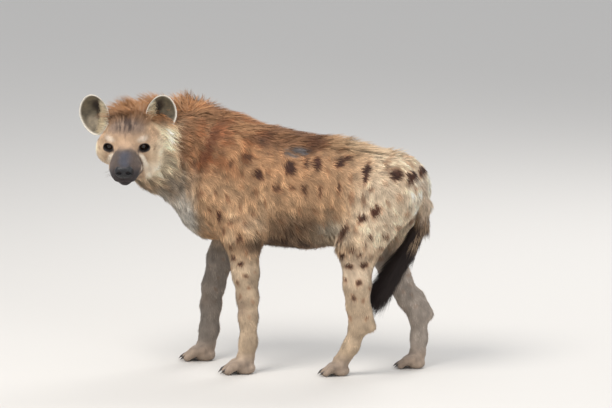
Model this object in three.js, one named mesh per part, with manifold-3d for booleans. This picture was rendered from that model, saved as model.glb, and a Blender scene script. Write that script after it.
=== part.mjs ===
// A life-size spotted hyena, standing with its head turned to its left.
// Millimetres, +Z up. The body faces -X and its left side is towards -Y.
// The flesh is one smooth distance field of named masses, polygonised and parted with thin cuts.
import * as THREE from "three";
import { mergeVertices } from "three/addons/utils/BufferGeometryUtils.js";
import Module from "manifold-3d";

const wasm = await Module();
wasm.setup();

// Driving dimensions
const GAP = 0.3;
const BACK_BLEND = 60;
const HEAD_STEP = 6;
const LEG_STEP = 8;
const TRUNK_STEP = 16;
const EYE_RADIUS = 13.5;
const EYE_SPACING = 98;
const EAR_HEIGHT = 138;
const EAR_WIDTH = 96;
const HEAD_YAW = 8;
const HEAD_PITCH = 15;
const HEAD_AT = [-558, -200, 722];
const SEED = 7;

// Trunk sections from the shoulders to the loin: x, height of the back, height of the belly, half width.
const TRUNK = [
  [-330, 792, 440, 92],
  [-255, 786, 408, 114],
  [-150, 768, 396, 124],
  [-40, 746, 388, 125],
  [60, 733, 400, 117],
  [150, 711, 432, 106],
  [230, 670, 470, 96],
];

// Chains of tapered lengths, each point x, y, z and radius.
const NECK_CREST = [
  [-290, 0, 702, 94],
  [-405, -10, 742, 84],
  [-495, -55, 750, 77],
  [-545, -100, 752, 71],
];
const NECK_THROAT = [
  [-334, 0, 540, 110],
  [-392, -5, 604, 98],
  [-487, -65, 662, 88],
  [-540, -120, 690, 68],
];
const LEGS = {
  front_left: {
    girdle: { at: [-265, -76, 640], radii: [80, 48, 125] },
    upper: [
      [-305, -84, 548, 62],
      [-214, -102, 446, 62],
    ],
    lower: [
      [-213, -105, 436, 61],
      [-203, -104, 320, 43],
      [-197, -102, 240, 34],
      [-195, -101, 178, 30],
      [-195, -100, 100, 28],
      [-204, -100, 50, 30],
    ],
    heel: [
      [-214, -104, 470, 40],
      [-168, -105, 456, 24],
    ],
    flat: 0.82,
    paw: { at: [-204, -102], turn: -4, size: 1 },
    joints: { knee: 300, ankle: 128 },
    socket: { low: [-207, -112, 330], high: [-250, -96, 555], radius: 92, flat: 0.8 },
  },
  front_right: {
    girdle: { at: [-285, 76, 636], radii: [80, 48, 122] },
    upper: [
      [-330, 84, 542, 62],
      [-278, 100, 442, 60],
    ],
    lower: [
      [-282, 101, 432, 58],
      [-322, 98, 330, 44],
      [-345, 94, 240, 36],
      [-353, 92, 178, 33],
      [-358, 90, 100, 31],
      [-368, 88, 50, 32],
    ],
    heel: [
      [-275, 101, 466, 40],
      [-236, 101, 450, 24],
    ],
    flat: 0.82,
    paw: { at: [-369, 84], turn: 3, size: 1 },
    joints: { knee: 300, ankle: 128 },
    socket: { low: [-318, 110, 330], high: [-290, 96, 550], radius: 94, flat: 0.8 },
  },
  hind_left: {
    girdle: { at: [236, -66, 590], radii: [100, 46, 92] },
    upper: [
      [246, -80, 560, 88],
      [158, -97, 425, 70],
    ],
    lower: [
      [150, -99, 398, 62],
      [148, -97, 290, 43],
      [150, -94, 225, 36],
      [154, -92, 165, 31],
      [128, -88, 95, 25],
      [96, -84, 46, 27],
    ],
    heel: [
      [172, -93, 205, 22],
      [191, -92, 160, 19],
    ],
    flat: 0.7,
    paw: { at: [95, -80], turn: -3, size: 0.86 },
    joints: { knee: 330, ankle: 128 },
    socket: { low: [150, -110, 330], high: [226, -96, 545], radius: 106, flat: 0.8 },
  },
  hind_right: {
    girdle: { at: [246, 66, 590], radii: [96, 46, 92] },
    upper: [
      [258, 80, 556, 88],
      [200, 97, 425, 70],
    ],
    lower: [
      [192, 99, 402, 62],
      [240, 96, 288, 46],
      [285, 94, 216, 37],
      [314, 92, 166, 31],
      [316, 88, 95, 26],
      [312, 84, 46, 28],
    ],
    heel: [
      [312, 93, 222, 22],
      [344, 92, 172, 19],
    ],
    flat: 0.7,
    paw: { at: [310, 76], turn: 5, size: 0.86 },
    joints: { knee: 330, ankle: 128 },
    socket: { low: [196, 110, 330], high: [240, 96, 545], radius: 106, flat: 0.8 },
  },
};
const LEG_BLEND = 46;
const PAW_BLEND = 12;

// Tail from its root to the end of its flesh.
const TAIL = [
  [276, 0, 606, 34],
  [317, 0, 576, 28],
  [342, 0, 530, 24],
  [337, 0, 478, 20],
  [306, 0, 415, 17],
  [266, 0, 352, 14],
  [228, 0, 290, 9],
];

// Distance functions
const clamp = THREE.MathUtils.clamp;
const lerp = THREE.MathUtils.lerp;

function smoothMin(a, b, blend) {
  const h = Math.max(blend - Math.abs(a - b), 0) / blend;
  return Math.min(a, b) - (h * h * blend) / 4;
}

function smoothMax(a, b, blend) {
  return -smoothMin(-a, -b, blend);
}

// A tapered length with round ends; flat squeezes it along y.
function taper([ax, ay, az, ar], [bx, by, bz, br], flat = 1) {
  const dx = bx - ax;
  const dy = (by - ay) / flat;
  const dz = bz - az;
  const squared = dx * dx + dy * dy + dz * dz;
  return (x, y, z) => {
    const px = x - ax;
    const py = (y - ay) / flat;
    const pz = z - az;
    const t = clamp((px * dx + py * dy + pz * dz) / squared, 0, 1);
    return (Math.hypot(px - t * dx, py - t * dy, pz - t * dz) - lerp(ar, br, t)) * flat;
  };
}

function ellipsoid([cx, cy, cz], [rx, ry, rz]) {
  return (x, y, z) => {
    const px = (x - cx) / rx;
    const py = (y - cy) / ry;
    const pz = (z - cz) / rz;
    const k0 = Math.hypot(px, py, pz);
    const k1 = Math.hypot(px / rx, py / ry, pz / rz);
    return k1 < 1e-9 ? -Math.min(rx, ry, rz) : (k0 * (k0 - 1)) / k1;
  };
}

// Masses in order, each joined to those before it with its own blend.
function blended(masses) {
  return (x, y, z) => masses.reduce((d, [mass, blend]) => smoothMin(d, mass(x, y, z), blend), 1e4);
}

function chain(points, blend, flat = 1) {
  return blended(points.slice(1).map((p, i) => [taper(points[i], p, flat), blend]));
}

// A smooth value between table rows, by Catmull-Rom.
function along(rows, x, column) {
  const last = rows.length - 1;
  const i = clamp(rows.findIndex((row) => row[0] > x) - 1, 0, last - 1);
  const k = x >= rows[last][0] ? last - 1 : i;
  const t = clamp((x - rows[k][0]) / (rows[k + 1][0] - rows[k][0]), 0, 1);
  const [a, b, c, d] = [k - 1, k, k + 1, k + 2].map((n) => rows[clamp(n, 0, last)][column]);
  return b + 0.5 * t * (c - a + t * (2 * a - 5 * b + 4 * c - d + t * (3 * (b - c) + d - a)));
}

function trunk(x, y, z) {
  const top = along(TRUNK, x, 1);
  const belly = along(TRUNK, x, 2);
  const width = along(TRUNK, x, 3);
  const half = (top - belly) / 2;
  const u = y / width;
  const v = (z - (top + belly) / 2) / half;
  const rho = Math.hypot(u, v) + 1e-6;
  const slope = Math.hypot(u / width, v / half) / rho + 1e-6;
  const ends = Math.max(TRUNK[0][0] - x, x - TRUNK.at(-1)[0]);
  return Math.max((rho - 1) / slope, ends);
}

// Head, in its own frame: right, forward and up from the point between the eyes.
const yaw = THREE.MathUtils.degToRad(HEAD_YAW);
const pitch = THREE.MathUtils.degToRad(HEAD_PITCH);
const headForward = new THREE.Vector3(Math.sin(yaw), -Math.cos(yaw), 0)
  .multiplyScalar(Math.cos(pitch))
  .setZ(-Math.sin(pitch));
const headRight = new THREE.Vector3(-Math.cos(yaw), -Math.sin(yaw), 0);
const headUp = new THREE.Vector3().crossVectors(headRight, headForward);
const headMatrix = new THREE.Matrix4()
  .makeBasis(headRight, headForward, headUp)
  .setPosition(new THREE.Vector3(...HEAD_AT));

const EYE = [EYE_SPACING / 2, -5, 0];
const HEAD_MASSES = [
  [ellipsoid([0, -72, 14], [70, 84, 64]), 20],
  [ellipsoid([0, -20, 22], [60, 44, 40]), 30],
  [taper([0, 4, -22, 44], [0, 74, -36, 38]), 26],
  [taper([0, 40, -8, 26], [0, 100, -26, 20]), 22],
  [taper([0, -30, -62, 52], [0, 84, -72, 22]), 24],
];
const PAIRED_MASSES = [
  [ellipsoid([58, -34, -26], [43, 46, 50]), 26],
  [ellipsoid([40, -10, 20], [24, 20, 13]), 14],
  [taper([26, 58, -46, 27], [20, 92, -50, 24]), 14],
];

function head(x, y, z) {
  let d = 1e4;
  for (const [mass, blend] of HEAD_MASSES) d = smoothMin(d, mass(x, y, z), blend);
  const side = Math.abs(x);
  for (const [mass, blend] of PAIRED_MASSES) d = smoothMin(d, mass(side, y, z), blend);
  return smoothMin(d, Math.hypot(side - EYE[0], y - EYE[1], z - EYE[2]) - EYE_RADIUS, 14);
}

// One leg with its foot
function pawMasses({ at, turn, size }) {
  const angle = THREE.MathUtils.degToRad(turn);
  const place = ([forward, side, up]) => [
    at[0] - size * (forward * Math.cos(angle) - side * Math.sin(angle)),
    at[1] + size * (forward * Math.sin(angle) + side * Math.cos(angle)),
    size * up,
  ];
  const masses = [[ellipsoid(place([2, 0, 17]), [34 * size, 33 * size, 22 * size]), 14]];
  const claws = [];
  for (const [side, reach] of [[-34, 0.82], [-12.5, 1], [12.5, 1], [34, 0.82]]) {
    const root = [...place([4, side * 0.62, 38]), 17 * size];
    const knuckle = [...place([36 * reach, side * 0.96, 29]), 14.5 * size];
    const tip = [...place([62 * reach, side * 1.06, 11.5]), 12.2 * size];
    masses.push([taper(root, knuckle), 9], [taper(knuckle, tip), 7]);
    claws.push({
      root: new THREE.Vector3(...place([62 * reach, side * 1.06, 19])),
      tip: new THREE.Vector3(...place([62 * reach + 24, side * 1.1, 3.4])),
      size,
    });
  }
  return { masses, claws };
}

const paws = Object.fromEntries(Object.entries(LEGS).map(([name, leg]) => [name, pawMasses(leg.paw)]));
const legFields = Object.entries(LEGS).map(([name, leg]) => {
  const limb = blended([
    [ellipsoid(leg.girdle.at, leg.girdle.radii), 10],
    [chain(leg.upper, 30, leg.flat), 44],
    [chain(leg.lower, 16, leg.flat), 26],
    [chain(leg.heel, 10, leg.flat), 16],
  ]);
  const paw = blended(paws[name].masses);
  const side = Math.sign(leg.paw.at[1]);
  return { side, limb, paw, top: leg.girdle.at[2] + 130, x: leg.girdle.at[0] };
});

const neck = blended([
  [chain(NECK_CREST, 30), 10],
  [chain(NECK_THROAT, 30), 60],
  [ellipsoid([-332, 0, 545], [95, 92, 130]), 50],
]);
const rump = blended([
  [ellipsoid([216, 0, 578], [106, 92, 97]), 10],
  [ellipsoid([274, 0, 574], [50, 44, 44]), 40],
]);
const worldToHead = headMatrix.clone().invert().elements;

function headField(x, y, z) {
  const m = worldToHead;
  const lx = m[0] * x + m[4] * y + m[8] * z + m[12];
  const ly = m[1] * x + m[5] * y + m[9] * z + m[13];
  const lz = m[2] * x + m[6] * y + m[10] * z + m[14];
  return head(lx, ly, lz);
}

function hyena(x, y, z) {
  let d = trunk(x, y, z);
  d = smoothMin(d, rump(x, y, z), BACK_BLEND);
  d = smoothMin(d, neck(x, y, z), BACK_BLEND);
  for (const leg of legFields) {
    if (Math.abs(x - leg.x) > 330 || y * leg.side < -60) continue;
    const limb = leg.limb(x, y, z);
    d = smoothMin(d, limb, LEG_BLEND);
    if (z < 120) d = smoothMin(d, leg.paw(x, y, z), PAW_BLEND);
  }
  return x < -360 && z > 500 ? smoothMin(d, headField(x, y, z), 34) : d;
}

// Polygonising by marching tetrahedra: each cube is six tetrahedra round its long diagonal.
const TETRAHEDRA = [[0, 1, 3, 7], [0, 3, 2, 7], [0, 2, 6, 7], [0, 6, 4, 7], [0, 4, 5, 7], [0, 5, 1, 7]];
const EVEN_ORDERS = [
  [0, 1, 2, 3],
  [1, 0, 3, 2],
  [2, 0, 1, 3],
  [3, 1, 0, 2],
];
const PAIR_ORDERS = [
  [0, 1, 2, 3],
  [0, 2, 3, 1],
  [0, 3, 1, 2],
  [1, 2, 0, 3],
  [1, 3, 2, 0],
  [2, 3, 0, 1],
];

function sampled(field, low, [nx, ny, nz], step) {
  const block = 4;
  const values = new Float32Array(nx * ny * nz);
  const at = (i, j, k) => field(low[0] + i * step, low[1] + j * step, low[2] + k * step);
  for (let k0 = 0; k0 < nz; k0 += block)
    for (let j0 = 0; j0 < ny; j0 += block)
      for (let i0 = 0; i0 < nx; i0 += block) {
        const middle = at(i0 + 1.5, j0 + 1.5, k0 + 1.5);
        const far = Math.abs(middle) > block * step * 1.8;
        for (let k = k0; k < Math.min(nz, k0 + block); k++)
          for (let j = j0; j < Math.min(ny, j0 + block); j++)
            for (let i = i0; i < Math.min(nx, i0 + block); i++) {
              const edge = !i || !j || !k || i === nx - 1 || j === ny - 1 || k === nz - 1;
              const d = far ? middle : at(i, j, k);
              values[(k * ny + j) * nx + i] = edge ? Math.max(d, step / 2) : d;
            }
      }
  return values;
}

function polygonise(field, low, high, step) {
  const count = low.map((v, i) => Math.ceil((high[i] - v) / step) + 1);
  const [nx, ny, nz] = count;
  const values = sampled(field, low, count, step);
  const index = (i, j, k) => (k * ny + j) * nx + i;
  const points = [];
  const faces = [];
  const known = new Int32Array(nx * ny * nz * 8).fill(-1);
  const offset = [...Array(8).keys()].map((c) => index(c & 1, (c >> 1) & 1, (c >> 2) & 1));
  const place = (n) => [n % nx, Math.floor(n / nx) % ny, Math.floor(n / (nx * ny))];
  const crossing = (base, a, b) => {
    const first = base + offset[Math.min(a, b)];
    const second = base + offset[Math.max(a, b)];
    const key = first * 8 + (a ^ b);
    if (known[key] < 0) {
      const t = clamp(values[first] / (values[first] - values[second]), 0.03, 0.97);
      const [p, q] = [place(first), place(second)];
      known[key] = points.length;
      points.push(p.map((v, i) => low[i] + step * lerp(v, q[i], t)));
    }
    return known[key];
  };
  for (let k = 0; k < nz - 1; k++)
    for (let j = 0; j < ny - 1; j++)
      for (let i = 0; i < nx - 1; i++) {
        const base = index(i, j, k);
        const inside = offset.map((o) => values[base + o] < 0);
        if (inside.every((v) => v === inside[0])) continue;
        for (const tetrahedron of TETRAHEDRA) {
          const within = tetrahedron.map((c) => inside[c]);
          const total = within.filter(Boolean).length;
          if (total === 0 || total === 4) continue;
          const corner = (n) => tetrahedron[n];
          if (total === 2) {
            const order = PAIR_ORDERS.find(([a, b]) => within[a] && within[b]);
            const [a, b, c, d] = order.map(corner);
            const quad = [[a, c], [a, d], [b, d], [b, c]].map(([p, q]) => crossing(base, p, q));
            faces.push([quad[0], quad[1], quad[2]], [quad[0], quad[2], quad[3]]);
          } else {
            const odd = within.indexOf(total === 1);
            const [a, b, c, d] = EVEN_ORDERS[odd].map(corner);
            const face = [b, c, d].map((other) => crossing(base, a, other));
            faces.push(total === 1 ? face : face.reverse());
          }
        }
      }
  return { points, faces };
}

// Simplifying by quadric error: passes of edge collapses that keep the surface closed.
function cross(a, b) {
  return [a[1] * b[2] - a[2] * b[1], a[2] * b[0] - a[0] * b[2], a[0] * b[1] - a[1] * b[0]];
}
const minus = (a, b) => [a[0] - b[0], a[1] - b[1], a[2] - b[2]];
const dot = (a, b) => a[0] * b[0] + a[1] * b[1] + a[2] * b[2];

// The ten numbers of a quadric are the upper half of a 4 x 4 matrix; the place of least error is solved for.
const QUADRIC = 10;

function facePlane(p, q, r) {
  const n = cross(minus(q, p), minus(r, p));
  const size = Math.sqrt(dot(n, n)) + 1e-12;
  const [a, b, c] = n.map((v) => v / size);
  const d = -(a * p[0] + b * p[1] + c * p[2]);
  return [a * a, a * b, a * c, a * d, b * b, b * c, b * d, c * c, c * d, d * d].map((v) => v * size);
}

function bestPlace(q, a, b, place) {
  const [xx, xy, xz, xw, yy, yz, yw, zz, zw, ww] = q;
  const cost = (x, y, z) =>
    x * (xx * x + 2 * (xy * y + xz * z + xw)) + y * (yy * y + 2 * (yz * z + yw)) + z * (zz * z + 2 * zw) + ww;
  const [mx, my, mz] = [(a[0] + b[0]) / 2, (a[1] + b[1]) / 2, (a[2] + b[2]) / 2];
  const span = (a[0] - b[0]) ** 2 + (a[1] - b[1]) ** 2 + (a[2] - b[2]) ** 2;
  const minor = yy * zz - yz * yz;
  const other = xz * yz - xy * zz;
  const third = xy * yz - xz * yy;
  const det = xx * minor + xy * other + xz * third;
  [place[0], place[1], place[2]] = [mx, my, mz];
  let best = cost(mx, my, mz);
  if (Math.abs(det) > 1e-5 * (xx + yy + zz) ** 3) {
    const x = -(xw * minor + yw * other + zw * third) / det;
    const y = -(xw * other + yw * (xx * zz - xz * xz) + zw * (xy * xz - xx * yz)) / det;
    const z = -(xw * third + yw * (xy * xz - xx * yz) + zw * (xx * yy - xy * xy)) / det;
    const error = cost(x, y, z);
    if ((x - mx) ** 2 + (y - my) ** 2 + (z - mz) ** 2 < span && error < best) {
      [place[0], place[1], place[2]] = [x, y, z];
      best = error;
    }
  }
  return best + 0.002 * span * span;
}

// Joins edge u-v at place when the surface stays closed and no face turns over; returns the faces lost.
function collapse(points, faces, gone, ring, touched, u, v, place, turn) {
  const near = [u, v].map((w) => {
    const found = [];
    for (const f of ring[w]) for (const n of faces[f]) if (n !== w && !found.includes(n)) found.push(n);
    return found;
  });
  const shared = near[0].filter((n) => near[1].includes(n));
  if (shared.length !== 2 || near[0].length + near[1].length - 4 < 3) return 0;
  for (const w of [u, v])
    for (const f of ring[w]) {
      const face = faces[f];
      if (face.includes(u) && face.includes(v)) continue;
      const [a, b, c] = face;
      const [p, q, r] = [points[a], points[b], points[c]];
      const was = cross(minus(q, p), minus(r, p));
      const [p2, q2, r2] = [a === w ? place : p, b === w ? place : q, c === w ? place : r];
      const is = cross(minus(q2, p2), minus(r2, p2));
      const size = Math.sqrt(dot(is, is));
      const sides = [minus(q2, p2), minus(r2, q2), minus(p2, r2)].map((e) => dot(e, e));
      if (dot(was, is) < turn * size * Math.sqrt(dot(was, was)) || size < 0.06 * Math.max(...sides)) return 0;
    }
  let lost = 0;
  for (const f of ring[v]) {
    const face = faces[f];
    if (face.includes(u)) {
      gone[f] = 1;
      lost++;
    } else face[face.indexOf(v)] = u;
  }
  points[u] = [...place];
  touched[u] = touched[v] = 1;
  for (const list of near) for (const n of list) touched[n] = 1;
  return lost;
}

function simplify({ points, faces }, target) {
  const quadrics = new Float64Array(points.length * QUADRIC);
  for (const face of faces) {
    const q = facePlane(...face.map((v) => points[v]));
    for (const v of face) for (let i = 0; i < QUADRIC; i++) quadrics[v * QUADRIC + i] += q[i];
  }
  let stalled = 0;
  const joined = new Float64Array(QUADRIC);
  while (faces.length > target && stalled < 3) {
    const ring = points.map(() => []);
    faces.forEach((face, f) => face.forEach((v) => ring[v].push(f)));
    const most = faces.length * 1.5 + 1;
    const ends = new Uint32Array(most * 2);
    const places = new Float64Array(most * 3);
    const costs = new Float64Array(most);
    const place = [0, 0, 0];
    let count = 0;
    for (const [a, b, c] of faces)
      for (const [u, v] of [[a, b], [b, c], [c, a]])
        if (u < v) {
          for (let i = 0; i < QUADRIC; i++) joined[i] = quadrics[u * QUADRIC + i] + quadrics[v * QUADRIC + i];
          costs[count] = bestPlace(joined, points[u], points[v], place);
          places.set(place, count * 3);
          ends.set([u, v], count * 2);
          count++;
        }
    const order = new Uint32Array(count).map((_, i) => i).sort((a, b) => costs[a] - costs[b]);
    const touched = new Uint8Array(points.length);
    const gone = new Uint8Array(faces.length);
    const wanted = Math.min(faces.length - target, faces.length * 0.35);
    let removed = 0;
    for (const e of order.subarray(0, Math.ceil(count * 0.6))) {
      if (removed >= wanted) break;
      const [u, v] = [ends[e * 2], ends[e * 2 + 1]];
      if (touched[u] || touched[v]) continue;
      const place = places.subarray(e * 3, e * 3 + 3);
      const lost = collapse(points, faces, gone, ring, touched, u, v, place, stalled ? 0.1 : 0.5);
      if (lost) for (let i = 0; i < QUADRIC; i++) quadrics[u * QUADRIC + i] += quadrics[v * QUADRIC + i];
      removed += lost;
    }
    faces = faces.filter((_, f) => !gone[f]);
    stalled = removed < 4 ? stalled + 1 : 0;
  }
  const used = [...new Set(faces.flat())];
  const renumbered = new Map(used.map((v, i) => [v, i]));
  return { points: used.map((v) => points[v]), faces: faces.map((f) => f.map((v) => renumbered.get(v))) };
}

// Solids, joined and cut with manifold-3d
// The same mesh with its faces turned to look out.
function outward({ points, faces }) {
  const volume = faces.reduce((sum, [a, b, c]) => sum + dot(points[a], cross(points[b], points[c])), 0);
  return volume < 0 ? { points, faces: faces.map(([a, b, c]) => [a, c, b]) } : { points, faces };
}

function solidOf(mesh) {
  const { points, faces } = outward(mesh);
  const vertProperties = new Float32Array(points.flat());
  return new wasm.Manifold(new wasm.Mesh({ numProp: 3, vertProperties, triVerts: new Uint32Array(faces.flat()) }));
}

function meshOf(geometry, matrix) {
  const bare = geometry.clone();
  bare.deleteAttribute("normal");
  bare.deleteAttribute("uv");
  if (matrix) bare.applyMatrix4(matrix);
  const merged = mergeVertices(bare, 1e-3);
  const list = merged.attributes.position.array;
  const points = [...Array(list.length / 3).keys()].map((i) => [...list.slice(3 * i, 3 * i + 3)]);
  const ids = [...merged.index.array];
  const faces = [...Array(ids.length / 3).keys()].map((i) => ids.slice(3 * i, 3 * i + 3));
  const whole = faces.filter(([a, b, c]) => a !== b && b !== c && c !== a);
  return { points, faces: whole };
}

// The same mesh with its surface moved outwards.
function swollen(mesh, by) {
  const { points, faces } = outward(mesh);
  const normals = points.map(() => [0, 0, 0]);
  for (const face of faces) {
    const [p, q, r] = face.map((v) => points[v]);
    const n = cross(minus(q, p), minus(r, p));
    for (const v of face) for (let i = 0; i < 3; i++) normals[v][i] += n[i];
  }
  const moved = points.map((p, v) => {
    const size = Math.hypot(...normals[v]) || 1;
    return p.map((value, i) => value + (by * normals[v][i]) / size);
  });
  return { points: moved, faces };
}

function largest(solid) {
  return solid.decompose().reduce((a, b) => (a.volume() > b.volume() ? a : b));
}

function box(low, high) {
  const size = high.map((v, i) => v - low[i]);
  const middle = high.map((v, i) => (v + low[i]) / 2);
  return solidOf(meshOf(new THREE.BoxGeometry(...size), new THREE.Matrix4().makeTranslation(...middle)));
}

// The half of space ahead of a plane, starting a little past it.
function ahead(point, normal, start) {
  const reach = 3000;
  const turn = new THREE.Quaternion().setFromUnitVectors(new THREE.Vector3(0, 0, 1), normal.clone().normalize());
  const centre = point.clone().addScaledVector(normal.clone().normalize(), start + reach / 2);
  const matrix = new THREE.Matrix4().compose(centre, turn, new THREE.Vector3(1, 1, 1));
  return solidOf(meshOf(new THREE.BoxGeometry(reach, reach, reach), matrix));
}

// Legs
const LEG_TOP_BOX = 372;

// The shape that parts a leg from the trunk: a flattened capsule and all that is below the belly.
function socketShape({ low, high, radius, flat }, side, isFront, extra) {
  const start = new THREE.Vector3(...low);
  const end = new THREE.Vector3(...high);
  const axis = end.clone().sub(start);
  const capsule = new THREE.CapsuleGeometry(radius + extra, axis.length(), 3, 12);
  capsule.scale(1, 1, flat);
  const middle = start.clone().add(end).multiplyScalar(0.5);
  const upright = axis.clone().normalize();
  const across = new THREE.Vector3(0, 1, 0).addScaledVector(upright, -upright.y).normalize();
  const third = new THREE.Vector3().crossVectors(upright, across);
  const matrix = new THREE.Matrix4().makeBasis(third, upright, across).setPosition(middle);
  const xs = isFront ? [-700, -60 + extra] : [-60 - extra, 700];
  const ys = side < 0 ? [-400, extra - 1] : [1 - extra, 400];
  const below = box([xs[0], ys[0], -100], [xs[1], ys[1], LEG_TOP_BOX + extra]);
  return solidOf(meshOf(capsule, matrix)).add(below);
}

// A closed prism between two outlines of the same number of points.
function loft(outlines) {
  const sides = outlines[0].length;
  const list = outlines.flat();
  const faces = [];
  for (let i = 0; i < outlines.length - 1; i++)
    for (let k = 0; k < sides; k++) {
      const [a, b] = [i * sides + k, i * sides + ((k + 1) % sides)];
      faces.push([a, b, b + sides], [a, b + sides, a + sides]);
    }
  const top = (outlines.length - 1) * sides;
  for (let k = 1; k < sides - 1; k++) faces.push([0, k + 1, k], [top, top + k, top + k + 1]);
  return { points: list, faces };
}

// Seeded random numbers, so that every build lays the same hair.
let state = SEED;
function random() {
  state = (state * 1664525 + 1013904223) % 4294967296;
  return state / 4294967296;
}
const spread = (amount) => (random() * 2 - 1) * amount;

function normalAt({ x, y, z }, field = hyena) {
  const e = 2;
  return new THREE.Vector3(
    field(x + e, y, z) - field(x - e, y, z),
    field(x, y + e, z) - field(x, y - e, z),
    field(x, y, z + e) - field(x, y, z - e),
  ).normalize();
}

// The place where a line from outside first meets the body.
function onSkin(from, towards) {
  const way = towards.clone().sub(from).normalize();
  const place = from.clone();
  for (let i = 0; i < 80; i++) {
    const d = hyena(place.x, place.y, place.z);
    if (d < 0.3) break;
    place.addScaledVector(way, Math.max(d * 0.7, 0.5));
  }
  return place;
}

// A lock of hair: a flat tapered blade, its root sunk, that leaves the skin and bends over along the lie.
const LOCK_WIDTHS = [0.8, 1, 0.62];
function lock(root, normal, lie, { length, width, thick, lift, bend, roll = 0, sink = 13 }) {
  const along = lie.clone().addScaledVector(normal, -lie.dot(normal)).normalize();
  const lifted = THREE.MathUtils.degToRad(lift);
  const way = along.clone().multiplyScalar(Math.cos(lifted)).addScaledVector(normal, Math.sin(lifted));
  const across = new THREE.Vector3().crossVectors(along, normal).normalize().applyAxisAngle(way, roll);
  const place = root.clone().addScaledVector(way, -sink * 0.7).addScaledVector(normal, -sink * 0.5);
  const rings = [];
  const step = (length + sink) / LOCK_WIDTHS.length;
  for (const share of LOCK_WIDTHS) {
    const above = new THREE.Vector3().crossVectors(across, way).normalize();
    const corners = [[-share, 0.15], [0, -share], [share, 0.15], [0, share]];
    rings.push(
      corners.map(([u, v]) =>
        place.clone().addScaledVector(across, (u * width) / 2).addScaledVector(above, (v * thick) / 2).toArray(),
      ),
    );
    place.addScaledVector(way, step);
    way.addScaledVector(bend, 1 / LOCK_WIDTHS.length).normalize();
  }
  const { points, faces } = loft(rings);
  const tip = points.push(place.toArray()) - 1;
  const sides = 4;
  const last = (rings.length - 1) * sides;
  const open = faces.slice(0, -sides + 2 - (sides - 2));
  for (let k = 1; k < sides - 1; k++) open.push([0, k + 1, k]);
  for (let k = 0; k < sides; k++) open.push([last + k, last + ((k + 1) % sides), tip]);
  return solidOf({ points, faces: open });
}

// Joins many solids in pairs.
function joined(solids) {
  let list = [...solids];
  while (list.length > 1) {
    const next = [];
    for (let i = 0; i < list.length; i += 2) next.push(i + 1 < list.length ? list[i].add(list[i + 1]) : list[i]);
    list = next;
  }
  return list[0];
}

const materials = {
  coat: new THREE.MeshStandardMaterial({ color: 0xb08a5e, roughness: 0.95 }),
  mane: new THREE.MeshStandardMaterial({ color: 0x9a6034, roughness: 0.95 }),
  face: new THREE.MeshStandardMaterial({ color: 0x9c8368, roughness: 0.9 }),
  ear: new THREE.MeshStandardMaterial({ color: 0x8f8573, roughness: 0.9 }),
  nose: new THREE.MeshStandardMaterial({ color: 0x1d1c1e, roughness: 0.45 }),
  eye: new THREE.MeshStandardMaterial({ color: 0x17100b, roughness: 0.05 }),
  claw: new THREE.MeshStandardMaterial({ color: 0x2b2724, roughness: 0.5 }),
  brush: new THREE.MeshStandardMaterial({ color: 0x1b1613, roughness: 0.95 }),
};
const hyenaGroup = new THREE.Group();

function addNode(name, solid, material) {
  const { vertProperties, triVerts, numProp } = largest(solid).getMesh();
  const geometry = new THREE.BufferGeometry();
  const positions = new Float32Array((vertProperties.length / numProp) * 3);
  for (let i = 0; i < positions.length / 3; i++)
    positions.set(vertProperties.subarray(i * numProp, i * numProp + 3), i * 3);
  geometry.setAttribute("position", new THREE.BufferAttribute(positions, 3));
  geometry.setIndex(new THREE.BufferAttribute(triVerts, 1));
  geometry.computeVertexNormals();
  const mesh = new THREE.Mesh(geometry, materials[material]);
  mesh.name = name;
  hyenaGroup.add(mesh);
}

const FLOOR = ahead(new THREE.Vector3(), new THREE.Vector3(0, 0, 1), 0);
const level = new THREE.Vector3(0, 0, 1);

// A claw: a short curved cone of six sides, its root sunk in the toe.
function claw({ root, tip, size }) {
  const length = root.distanceTo(tip);
  const profile = [[0, -7], [5.4, -7], [5, 2], [3.6, length * 0.6], [0, length]];
  const cone = new THREE.LatheGeometry(profile.map(([r, y]) => new THREE.Vector2(r * size, y)), 6);
  const turn = new THREE.Quaternion().setFromUnitVectors(
    new THREE.Vector3(0, 1, 0),
    tip.clone().sub(root).normalize(),
  );
  const matrix = new THREE.Matrix4().compose(root, turn, new THREE.Vector3(1, 1, 1));
  const { points, faces } = meshOf(cone, matrix);
  const arched = points.map(([x, y, z]) => {
    const t = clamp(new THREE.Vector3(x, y, z).sub(root).dot(tip.clone().sub(root)) / length ** 2, 0, 1);
    return [x, y, z + 3.2 * size * Math.sin(Math.PI * t)];
  });
  return { points: arched, faces };
}

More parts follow.
